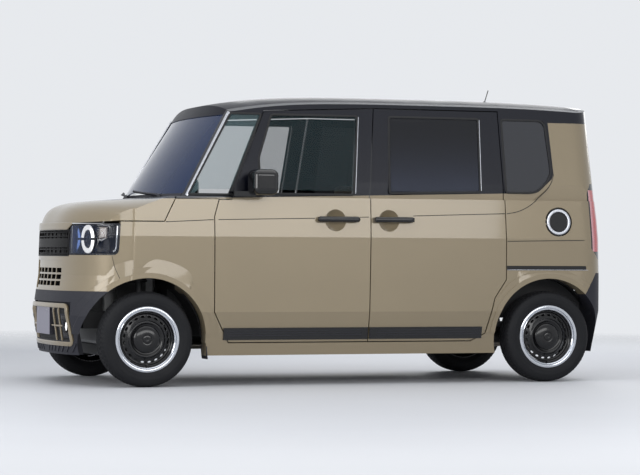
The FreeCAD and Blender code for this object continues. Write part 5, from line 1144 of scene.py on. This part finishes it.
def grille():
    form, slats, posts = grilleForm, Shape(), Shape()
    for z, half, *section in form["slats"]:
        slats.shell(noseBar([(-half, z), (half, z)], *section))
    for y, foot, head, *section in form["posts"]:
        posts.shell(noseBar([(y, foot), (y, head)], *section))
    slats.piece("grille_slats", "grilleDark", "gloss_black", replaces=["upper_grille"])
    posts.piece("grille_posts", "grilleDark", "gloss_black")
    sheetPiece("grille_panel", [noseSheet(*form["panel"])], "grilleDark", "gloss_black", 0.004)
    sheetPiece("grille_back", [noseSheet(*form["back"])], "grilleDark", "gloss_black", 0.003)
    # the bonnet's lip over the grille, which rises over the headlamps at both ends
    y, v = plane((-form["lipHalf"], form["lipHalf"]), (0, 1), 90, 10)
    turnPlace, turnWide = form["lipTurn"]
    low = form["lipLow"] + form["lipRise"] * np.clip((np.abs(y) - turnPlace) / turnWide, 0, 1) ** 1.5
    z = low + (form["lipHigh"] - low) * v
    lift = form["lipOut"] * rounded(shareIn(v, 0, 1, 0.2)) - form["lipSunk"]
    sheetPiece("bonnet_lip", [np.stack([noseX(y, z) + lift, y, z], -1)], "khaki", "body_paint", 0.004,
               "bonnet_body")


ladderForm = {"half": 0.430, "low": 0.240, "high": 0.462, "bar": 0.027, "rung": 0.345,
              "posts": (0.232, 0.312), "back": ((-0.41, 0.41), (0.25, 0.455), -0.018),
              "screws": (1.6905, 0.432), "screwSides": (-0.105, 0.105)}


def ladder():
    # the body-coloured frame round plate and fog lamps, with one rung and two posts on each side
    form, made = ladderForm, Shape()
    low, high, half = form["low"], form["high"], form["half"]
    outline = [(-half + 0.01, low), (half - 0.01, low), (half, low + 0.012), (half - 0.012, high - 0.012),
               (half - 0.03, high), (-half + 0.03, high), (-half + 0.012, high - 0.012), (-half, low + 0.012)]
    made.shell(noseBar(outline, form["bar"], 0.016, -0.002, True, 0.014), along=True)
    for sign in (-1, 1):
        rung = [(sign * 0.178, form["rung"]), (sign * 0.345, form["rung"])]
        made.shell(noseBar(rung, 0.010, 0.010, -0.006))
        for y in form["posts"]:
            made.shell(noseBar([(sign * y, low + 0.006), (sign * y, high - 0.006)], 0.011, 0.010, -0.006))
    made.piece("bumper_ladder", "khaki", "body_paint", replaces=["bumper_insert"])
    sheetPiece("ladder_back", [noseSheet(*form["back"])], "seal", "black_plastic", 0.003)
    # a dark pod with a bowl round each fog lamp
    y, z, rise = softPlane(*fogForm["pod"], 14, 24, fogForm["podEdge"])
    bowl = np.clip(1 - np.hypot(y - fogForm["side"], z - fogForm["height"]) / 0.040, 0, 1)
    patch = np.stack([noseX(y, z) - 0.012 + 0.014 * rise - 0.030 * bowl ** 0.5, y, z], -1)
    sheetPiece("fog_pods", [mirrored(patch)[::-1], patch], "satinDark", "black_plastic", 0.003)
    # the front plate's screws
    screws, (x, z) = Shape(), form["screws"]
    for y in form["screwSides"]:
        screws.spin([(0, -0.001), (0.006, -0.001), (0.006, 0.001), (0.004, 0.0026), (0, 0.003)], (x, y, z),
                    (1, 0, 0), 24)
    screws.piece("plate_screws", "silver", "plate_white")


grille()
ladder()


# wipers and mud flaps
# the arms' sides, their blades' height, the windscreen's bow as depth, half width and power, the pivot's cap
wiperForm = {"across": ((0.46, -0.02), (-0.08, -0.54)), "foot": 1.104, "rise": 0.030,
             "bow": (0.128, 0.66, 2.6),
             "cap": [(0, -0.02), (0.016, -0.02), (0.016, 0.004), (0.012, 0.008), (0, 0.009)]}
flapForm = {"x": 0.885, "sides": (0.590, 0.700), "low": 0.158, "high": 0.232, "curl": 0.006}


def wiperArm(foot, knee, tip, blade, surfaceOut):
    surfaceOut = np.asarray(surfaceOut, float)
    arm, rubber = softPath([foot, knee, tip], 0.012, 0.03), softPath(blade, 0.012, 0.02)
    across = unit(np.cross(tangents(arm), surfaceOut))
    share = np.linspace(1, 0.55, len(arm))[:, None, None]
    grid = carried(arm, across, np.broadcast_to(surfaceOut, arm.shape), roundBar(0.014, 0.010))
    across = unit(np.cross(tangents(rubber), surfaceOut))
    return (arm[:, None] + (grid - arm[:, None]) * share,
            carried(rubber, across, np.broadcast_to(surfaceOut, rubber.shape), roundBar(0.010, 0.016)))


def onScreen(y, z, lift, lean):
    # a place over the windscreen, which leans back and bows toward its sides
    deep, half, power = wiperForm["bow"]
    x = bodyForm["screenFoot"] + (bodyForm["screenHead"] - bodyForm["screenFoot"]) * glassRise(z)
    return np.array([x - deep * np.abs(y / half) ** power, y, z]) + lean * lift


def wipers():
    form, made = wiperForm, Shape()
    lean = unit(np.array([bodyForm["glassTall"], 0, bodyForm["screenFoot"] - bodyForm["screenHead"]]))
    for y0, y1 in form["across"]:
        foot, knee, tip = (onScreen(*place, lean) for place in (
            (y0 + 0.03, 1.080, 0.010), (y0, 1.100, 0.022), (y0 - 0.25, 1.118, 0.016)))
        blade = [onScreen(y0 + (y1 - y0) * t, form["foot"] + form["rise"] * t, 0.010, lean)
                 for t in (0.0, 0.5, 1.0)]
        for grid in wiperArm(foot, knee, tip, blade, lean):
            made.shell(grid)
        made.spin(form["cap"], foot, lean, 28)
    made.piece("front_wipers", "trimPlastic", "black_plastic")
    form = flapForm
    y, z = plane(form["sides"], (form["low"], form["high"]), 10, 10)
    x = form["x"] - form["curl"] * ((z - form["high"]) / (form["high"] - form["low"])) ** 2
    flap = np.stack([x, y, z], -1)
    sheetPiece("mud_flaps", [mirrored(flap), flap], "trimPlastic", "black_plastic", 0.004)


wipers()
print("grille, frame, wipers and flaps made")


# tail: garnish over the plate, handle, high stop lamp, reflectors, window seal and wiper
# each piece's finish, slot and body, and its bars as start, end, height, width, depth and lift
tailForm = {
    "gate_garnish": ("gloss", "gloss_black", "tailgate_body", [(-0.34, 0.34, 0.842, 0.046, 0.022, 0.004)]),
    "gate_handle": ("trimPlastic", "black_plastic", "tailgate_body",
                    [(-0.10, 0.10, 0.812, 0.018, 0.016, 0.002), (-0.25, -0.19, 0.818, 0.010, 0.012, 0.003),
                     (0.19, 0.25, 0.818, 0.010, 0.012, 0.003)]),
    "gate_stop_lamp": ("redLens", "red_lens", "tailgate_body", [(-0.14, 0.14, 1.648, 0.016, 0.012, 0.002)]),
    "bumper_reflectors": ("redLens", "red_lens", "body_shell",
                          [(sign * 0.44, sign * 0.56, 0.360, 0.026, 0.010, 0.002) for sign in (-1, 1)])}
gateForm = {"seal": [(-0.548, 1.150), (0.548, 1.150), (0.490, 1.560), (-0.490, 1.560)],
            "pivotHeight": 1.175, "pivotOut": 0.012,
            "knee": (-0.014, 0.10, 0.012), "tip": (-0.006, 0.26, 0.020),
            "blade": (0.10, 0.25, 0.40), "bladeHeight": 1.196, "bladeOut": 0.010,
            "cap": [(0, -0.006), (0.020, -0.006), (0.020, 0.010), (0.014, 0.018), (0, 0.019)]}


def tailBar(points, width, high, lift, closed=False, soften=0.006):
    # a bar that follows the tail: its path is drawn in rear view, place across and height
    plan = softPath(points, 0.010, soften, closed)
    y, z = plan[:, 0], plan[:, 1]
    path = np.stack([tailX(y, z) - lift, y, z], -1)
    out = unit(np.stack([-np.ones_like(y), slopes(tailX, y, z)[0], 0 * y], -1))
    return carried(path, unit(np.cross(tangents(path, closed), out)), out, roundBar(width, high))


def tailPieces():
    for name, (finish, slot, body, bars) in tailForm.items():
        made = Shape()
        for start, end, z, width, high, lift in bars:
            made.shell(tailBar([(start, z), (end, z)], width, high, lift))
        made.piece(name, finish, slot, body)
    form = gateForm
    Shape().shell(tailBar(form["seal"], 0.012, 0.004, 0.0, True, 0.03), along=True).piece(
        "gate_window_seal", "seal", "black_plastic", "tailgate_body")
    z = form["pivotHeight"]
    pivot = np.array([float(tailX(0.0, z)) - form["pivotOut"], 0.0, z])
    z = form["bladeHeight"]
    blade = [(float(tailX(y, z)) - form["bladeOut"], y, z + 0.02 * (y - 0.1)) for y in form["blade"]]
    rear = Shape()
    for grid in wiperArm(pivot, pivot + form["knee"], pivot + form["tip"], blade, (-1, 0, 0)):
        rear.shell(grid)
    rear.spin(form["cap"], pivot, (-1, 0, 0), 28)
    rear.piece("gate_wiper", "trimPlastic", "black_plastic", "tailgate_body")


tailPieces()
print("tail made")


# seats: padded forms blown up by cloth pressure between their sewn channels, then moved to each place
cushionForm = {"voxel": 0.0085, "pressure": 4.0, "frames": 20, "soft": 0.34, "steps": (72, 44),
               "base": {"half": (0.232, 0.222, 0.062), "cap": 0.024, "channels": (0.150,),
                        "cross": (-0.060, 0.090)},
               "back": {"half": (0.052, 0.218, 0.278), "cap": 0.024, "channels": (0.140,),
                        "cross": (-0.080, 0.100)},
               "rest": {"half": (0.038, 0.120, 0.082), "cap": 0.012, "channels": (), "cross": ()}}


def softBlock(half):
    # a superellipsoid: sines and cosines raised to a small power give a block with soft sides
    (around, tall), power = cushionForm["steps"], cushionForm["soft"]
    u = np.linspace(0, 2 * math.pi, around, endpoint=False)
    v = np.linspace(-math.pi / 2, math.pi / 2, tall)
    cu, su, cv, sv = (np.sign(wave) * np.abs(wave) ** power
                      for wave in (np.cos(u), np.sin(u), np.cos(v)[:, None], np.sin(v)[:, None]))
    return np.stack([half[0] * cv * cu, half[1] * cv * su, half[2] * sv + 0 * u], -1)


def meshArrays(item):
    ready = item.evaluated_get(bpy.context.evaluated_depsgraph_get())
    mesh = ready.to_mesh()
    points = np.empty(len(mesh.vertices) * 3)
    mesh.vertices.foreach_get("co", points)
    faces = [tuple(face.vertices) for face in mesh.polygons]
    ready.to_mesh_clear()
    return points.reshape(-1, 3), faces


def nearChannel(points, form, face):
    # how far each point of the sitting side is from the nearest sewn channel
    near = np.full(points.shape[:-1], 9.0)
    for place in form["channels"]:
        near = np.minimum(near, np.abs(np.abs(points[..., 1]) - place))
    inside = np.abs(points[..., 1]) < max(form["channels"], default=0)
    for place in form["cross"]:
        near = np.where(inside, np.minimum(near, np.abs(points[..., 2 - face] - place)), near)
    return np.where(points[..., face] > form["half"][face] * 0.45, near, 9.0)


def cushionStart(form, face, voxel):
    # a soft block with its channels pressed in, remeshed so that its cloth is even
    grid = softBlock(form["half"])
    grid[..., face] -= 0.010 * np.exp(-(nearChannel(grid, form, face) / 0.010) ** 2)
    start = Shape().shell(grid, ends=False)
    mesh = newMesh("start", np.concatenate(start.points), start.faces)
    work = bmesh.new()
    work.from_mesh(mesh)
    bmesh.ops.remove_doubles(work, verts=work.verts, dist=1e-5)
    bmesh.ops.recalc_face_normals(work, faces=work.faces)
    work.to_mesh(mesh)
    work.free()
    item = newObject("start", mesh)
    grain = item.modifiers.new("grain", "REMESH")
    grain.mode, grain.voxel_size = "VOXEL", voxel
    points, faces = meshArrays(item)
    bpy.data.objects.remove(item)
    bpy.data.meshes.remove(mesh)
    return points, faces


def padded(kind, face, fine=1.0):
    # face is the axis of the sitting side: 2 for a base, 0 for a back
    form, frames = cushionForm[kind], cushionForm["frames"]
    points, faces = cushionStart(form, face, cushionForm["voxel"] * fine)
    mesh = newMesh("cloth", points, faces)
    item = newObject("cloth", mesh)
    pins = item.vertex_groups.new(name="pins")
    under = points[:, face] < -form["half"][face] * 0.80
    held = np.where((nearChannel(points, form, face) < 0.0065) | under)[0]
    pins.add(held.tolist(), 1.0, "REPLACE")
    blow = item.modifiers.new("blow", "CLOTH")
    cloth = blow.settings
    cloth.vertex_group_mass = "pins"
    cloth.use_pressure, cloth.uniform_pressure_force = True, cushionForm["pressure"]
    cloth.effector_weights.gravity = 0
    cloth.quality, cloth.tension_stiffness, cloth.bending_stiffness = 5, 12, 0.6
    blow.point_cache.frame_start, blow.point_cache.frame_end = 1, frames
    for step in range(1, frames + 1):
        bpy.context.scene.frame_set(step)
    blown, faces = meshArrays(item)
    bpy.data.objects.remove(item)
    bpy.data.meshes.remove(mesh)
    bpy.context.scene.frame_set(1)
    move = blown - points
    size = np.linalg.norm(move, axis=1, keepdims=True)
    return points + move * np.minimum(1, form["cap"] / np.maximum(size, 1e-9)), faces


def placed(points, scale, lean, place):
    # scaled, leaned back by an angle about the axis across the car, and moved
    points = points * np.asarray(scale, float)
    turn = math.radians(lean)
    x = points[:, 0] * math.cos(turn) - points[:, 2] * math.sin(turn)
    z = points[:, 0] * math.sin(turn) + points[:, 2] * math.cos(turn)
    return np.stack([x, points[:, 1], z], -1) + np.asarray(place, float)


def cushion(name, points, faces, replaces):
    mesh = newMesh(name, points, faces, finishes["cloth"])
    mesh.shade_smooth()
    made = newObject(name, mesh)
    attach(made, "body_shell")
    if replaces:
        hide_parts(*replaces)


# where each row's base, back and head rest stand, how wide they are and how far they lean
seatRows = {"front": {"base": (0.045, 0.478), "back": (-0.215, 0.800), "rest": (-0.322, 1.118), "wide": 1.0,
                      "lean": 14, "side": 0.30},
            "rear": {"base": (-0.825, 0.556), "back": (-1.078, 0.880), "rest": (-1.172, 1.196), "wide": 1.21,
                     "lean": 12, "side": 0.298}}


def seats():
    forms = {"base": padded("base", 2), "back": padded("back", 0), "rest": padded("rest", 0, 0.6)}
    metal, posts = Shape(), Shape()
    for row, form in seatRows.items():
        replaces = [row + "_seats"]
        (x, z), (restX, restZ) = form["base"], form["rest"]
        for side, sign in sides[::-1]:
            y = sign * form["side"]
            for kind, (points, faces) in forms.items():
                wide = 1.05 if kind == "rest" else form["wide"]
                lean = -4 if kind == "base" else form["lean"]
                place = (form[kind][0], y, form[kind][1])
                cushion("%s_%s_%s" % (row, kind, side), placed(points, (1, wide, 1), lean, place), faces,
                        replaces)
                replaces = ()
            for shift in (-0.055, 0.055):
                posts.shell(bar((restX + 0.030, y + shift, restZ - 0.140),
                                (restX + 0.008, y + shift, restZ - 0.04),
                                0.011, 0.011, (0, 1, 0), 0.4))
            for shift in (-0.17, 0.17):
                metal.shell(bar((x - 0.22, y + shift, 0.350), (x + 0.22, y + shift, 0.350), 0.035, 0.034,
                                (0, 1, 0)))
                for leg in (x - 0.14, x + 0.16):
                    metal.shell(bar((leg, y + shift, 0.345), (leg, y + shift, z - 0.045), 0.05, 0.03,
                                    (0, 1, 0)))
            metal.shell(bar((x - 0.19, y * 0.35, z + 0.03), (x - 0.18, y * 0.35, z + 0.115), 0.030, 0.020,
                            (0, 1, 0)))
    metal.piece("seat_frames", "innerPlastic", "chassis_steel")
    posts.piece("rest_posts", "chrome", "chassis_steel")


seats()
print("seats made")


# cabin: dashboard pods, screens, trays and knobs, carpet, door linings, inner mirror and stalks
# blocks between two corners with their edge's softness, by the piece that they belong to
dashForm = {
    "gloss": [((0.585, -0.115, 0.985), (0.606, 0.115, 1.105), 0.4),
              ((0.634, -0.405, 0.995), (0.644, -0.195, 1.040), 0.3)],
    "dark": [((0.600, -0.125, 0.975), (0.622, 0.125, 1.112), 0.4),
             ((0.640, -0.430, 0.985), (0.760, -0.170, 1.052), 0.3)],
    "pale": [((0.508, 0.140, 0.870), (0.560, 0.580, 0.892), 0.4),
             ((0.508, -0.580, 0.792), (0.545, 0.580, 0.806), 0.4)],
    "console": ((0.500, -0.130, 0.700), (0.560, 0.130, 0.860), 0.3),
    "heater": ((0.490, -0.100, 0.800), (0.503, 0.100, 0.850), 0.3),
    "vents": (-0.545, -0.160, 0.160, 0.545),
    "knob": [(0, 0.0), (0.020, 0.0), (0.020, 0.014), (0.017, 0.017), (0, 0.018)],
    "lever": [(0, -0.030), (0.018, -0.028), (0.024, 0.0), (0.018, 0.026), (0, 0.030)]}
# straight rods as two ends, width, height and the direction of the width: inner mirror, its stem, two stalks
rodForm = [((0.690, -0.115, 1.520), (0.690, 0.115, 1.520), 0.020, 0.062, (1, 0, 0)),
           ((0.690, 0, 1.520), (0.742, 0, 1.575), 0.016, 0.016, (0, 1, 0)),
           ((0.560, -0.300, 0.930), (0.560, -0.120, 0.955), 0.014, 0.014, (0, 0, 1)),
           ((0.560, -0.300, 0.930), (0.560, -0.470, 0.950), 0.014, 0.014, (0, 0, 1))]
carpetForm = {"rear": -1.50, "front": 0.98, "half": 0.575, "height": 0.3345, "narrowFrom": 0.78,
              "narrowBy": 0.40, "narrowOver": 0.20, "wallFrom": 0.54, "wallOver": 0.035, "wallRise": 0.03}
liningForm = {"x": (-0.070, 0.760), "z": (0.300, 1.080), "out": 0.668, "edge": 0.03, "rest": (0.590, 0.655)}


def dashboard():
    form = dashForm
    dark, gloss, pale, silver = Shape(), Shape(), Shape(), Shape()
    for made, key in ((gloss, "gloss"), (dark, "dark"), (pale, "pale")):
        for block in form[key]:
            made.shell(slab(*block))
    for y in form["vents"]:
        dark.shell(slab((0.512, y - 0.050, 0.925), (0.535, y + 0.050, 0.978), 0.35))
        for row in range(4):
            z = 0.935 + 0.011 * row
            silver.shell(bar((0.510, y - 0.043, z), (0.510, y + 0.043, z), 0.004, 0.003, (1, 0, 0)))
    dark.shell(slab(*form["console"]))
    for place in (-0.070, 0.0, 0.070):
        silver.spin(form["knob"], (0.500, place, 0.760), (-1, 0, 0), 36)
    gloss.shell(slab(*form["heater"]))
    silver.shell(bar((0.470, 0.045, 0.740), (0.430, 0.045, 0.800), 0.018, 0.018, (0, 1, 0), 0.4))
    gloss.spin(form["lever"], (0.420, 0.045, 0.818), (-0.55, 0, 0.83), 28)
    dark.piece("dash_pods", "innerPlastic", "black_plastic")
    gloss.piece("dash_screens", "gloss", "gloss_black")
    pale.piece("dash_trays", "paleTrim", "black_plastic")
    silver.piece("dash_bright", "silver", "gloss_black")


def carpet():
    # slightly wavy, turned up at the walls, and narrower ahead, where the front wheels swing in
    form = carpetForm
    x, y = plane((form["rear"], form["front"]), (-form["half"], form["half"]), 60, 40)
    wall = np.clip((np.abs(y) - form["wallFrom"]) / form["wallOver"], 0, 1)
    z = form["height"] + 0.0015 * np.sin(x * 40) * np.sin(y * 40) + form["wallRise"] * wall ** 2
    y = y * (1 - form["narrowBy"] * np.clip((x - form["narrowFrom"]) / form["narrowOver"], 0, 1))
    sheetPiece("carpet", [np.stack([x, y, z], -1)[::-1]], "carpet", "seat_fabric", 0.003)


def doorLinings():
    # linings inside the front doors, each with a padded rest, a pull and a handle
    form = liningForm
    x, z, soft = softPlane(form["x"], form["z"], 60, 50, form["edge"])
    bulge, shelf = np.exp(-((z - 0.62) / 0.10) ** 2), np.clip((z - 0.95) / 0.15, 0, 1)
    grid = np.stack([x, form["out"] - 0.018 * soft - 0.010 * bulge - 0.020 * shelf, z], -1)
    for side, sign in sides:
        body, pull = "front_door_%s_body" % side, Shape()
        sheetPiece("door_lining_" + side, [mirrored(grid) if sign < 0 else grid[::-1]], "innerPlastic",
                   "black_plastic", 0.003, body)
        inner, outer = sorted(sign * y for y in form["rest"])
        Shape().shell(slab((0.060, inner, 0.700), (0.480, outer, 0.742), 0.4)).piece(
            "door_rest_" + side, "cloth", "seat_fabric", body)
        y = sign * 0.625
        pull.shell(bar((0.330, y, 0.760), (0.480, y, 0.860), 0.022, 0.020, (0, 1, 0), 0.4))
        y = sign * 0.634
        pull.shell(slab((0.520, y - 0.006, 0.860), (0.610, y + 0.006, 0.905), 0.3))
        pull.piece("door_pull_" + side, "silver", "gloss_black", body)


def cabin():
    dashboard()
    carpet()
    doorLinings()
    top = Shape()
    for rod in rodForm:
        top.shell(bar(*rod, 0.4))
    top.piece("cabin_mirror", "satinDark", "black_plastic")


cabin()
print("cabin made")


# floor and background: a pale round floor that keeps the shadow and fades into a pale background
# the world's light on the car, and the background as it is seen directly, in gloss and through glass
stageForm = {"radius": 10, "fadeEnd": 9.5, "fadeWide": 5.0, "light": ((0.80, 0.84, 0.92, 1), 0.42),
             "seen": ((0.80, 0.82, 0.85, 1), 1.0)}


def makeFloor():
    made = Finish("paleFloor")
    x, y, _ = made.axes()
    away = (x * x + y * y).maths("SQRT")
    tone = made.blendColour(made.noise(0.6, 2), srgb(216, 218, 222), srgb(224, 226, 230))
    made.shade({"Base Color": tone, "Roughness": 0.6,
                "Alpha": ((stageForm["fadeEnd"] - away) / stageForm["fadeWide"]).least(1.0).most(0.0)})
    turn = np.linspace(0, 2 * math.pi, 64, endpoint=False)
    rim = np.stack([stageForm["radius"] * np.cos(turn), stageForm["radius"] * np.sin(turn), 0 * turn], -1)
    newObject("floor", newMesh("floor", rim, [list(range(64))], made))


def makeWorld():
    world = bpy.data.worlds.new("studio")
    bpy.context.scene.world = world
    world.use_nodes = True
    tree = world.node_tree
    light, seen = tree.nodes["Background"], tree.nodes.new("ShaderNodeBackground")
    for node, key in ((light, "light"), (seen, "seen")):
        node.inputs["Color"].default_value, node.inputs["Strength"].default_value = stageForm[key]
    mix, path = tree.nodes.new("ShaderNodeMixShader"), tree.nodes.new("ShaderNodeLightPath")
    ray = path.outputs["Is Camera Ray"]
    for kind in ("Is Glossy Ray", "Is Transmission Ray"):
        either = tree.nodes.new("ShaderNodeMath")
        either.operation = "MAXIMUM"
        tree.links.new(ray, either.inputs[0])
        tree.links.new(path.outputs[kind], either.inputs[1])
        ray = either.outputs[0]
    for output, socket in ((ray, mix.inputs[0]), (light.outputs[0], mix.inputs[1]),
                           (seen.outputs[0], mix.inputs[2]),
                           (mix.outputs[0], tree.nodes["World Output"].inputs["Surface"])):
        tree.links.new(output, socket)


makeFloor()
makeWorld()
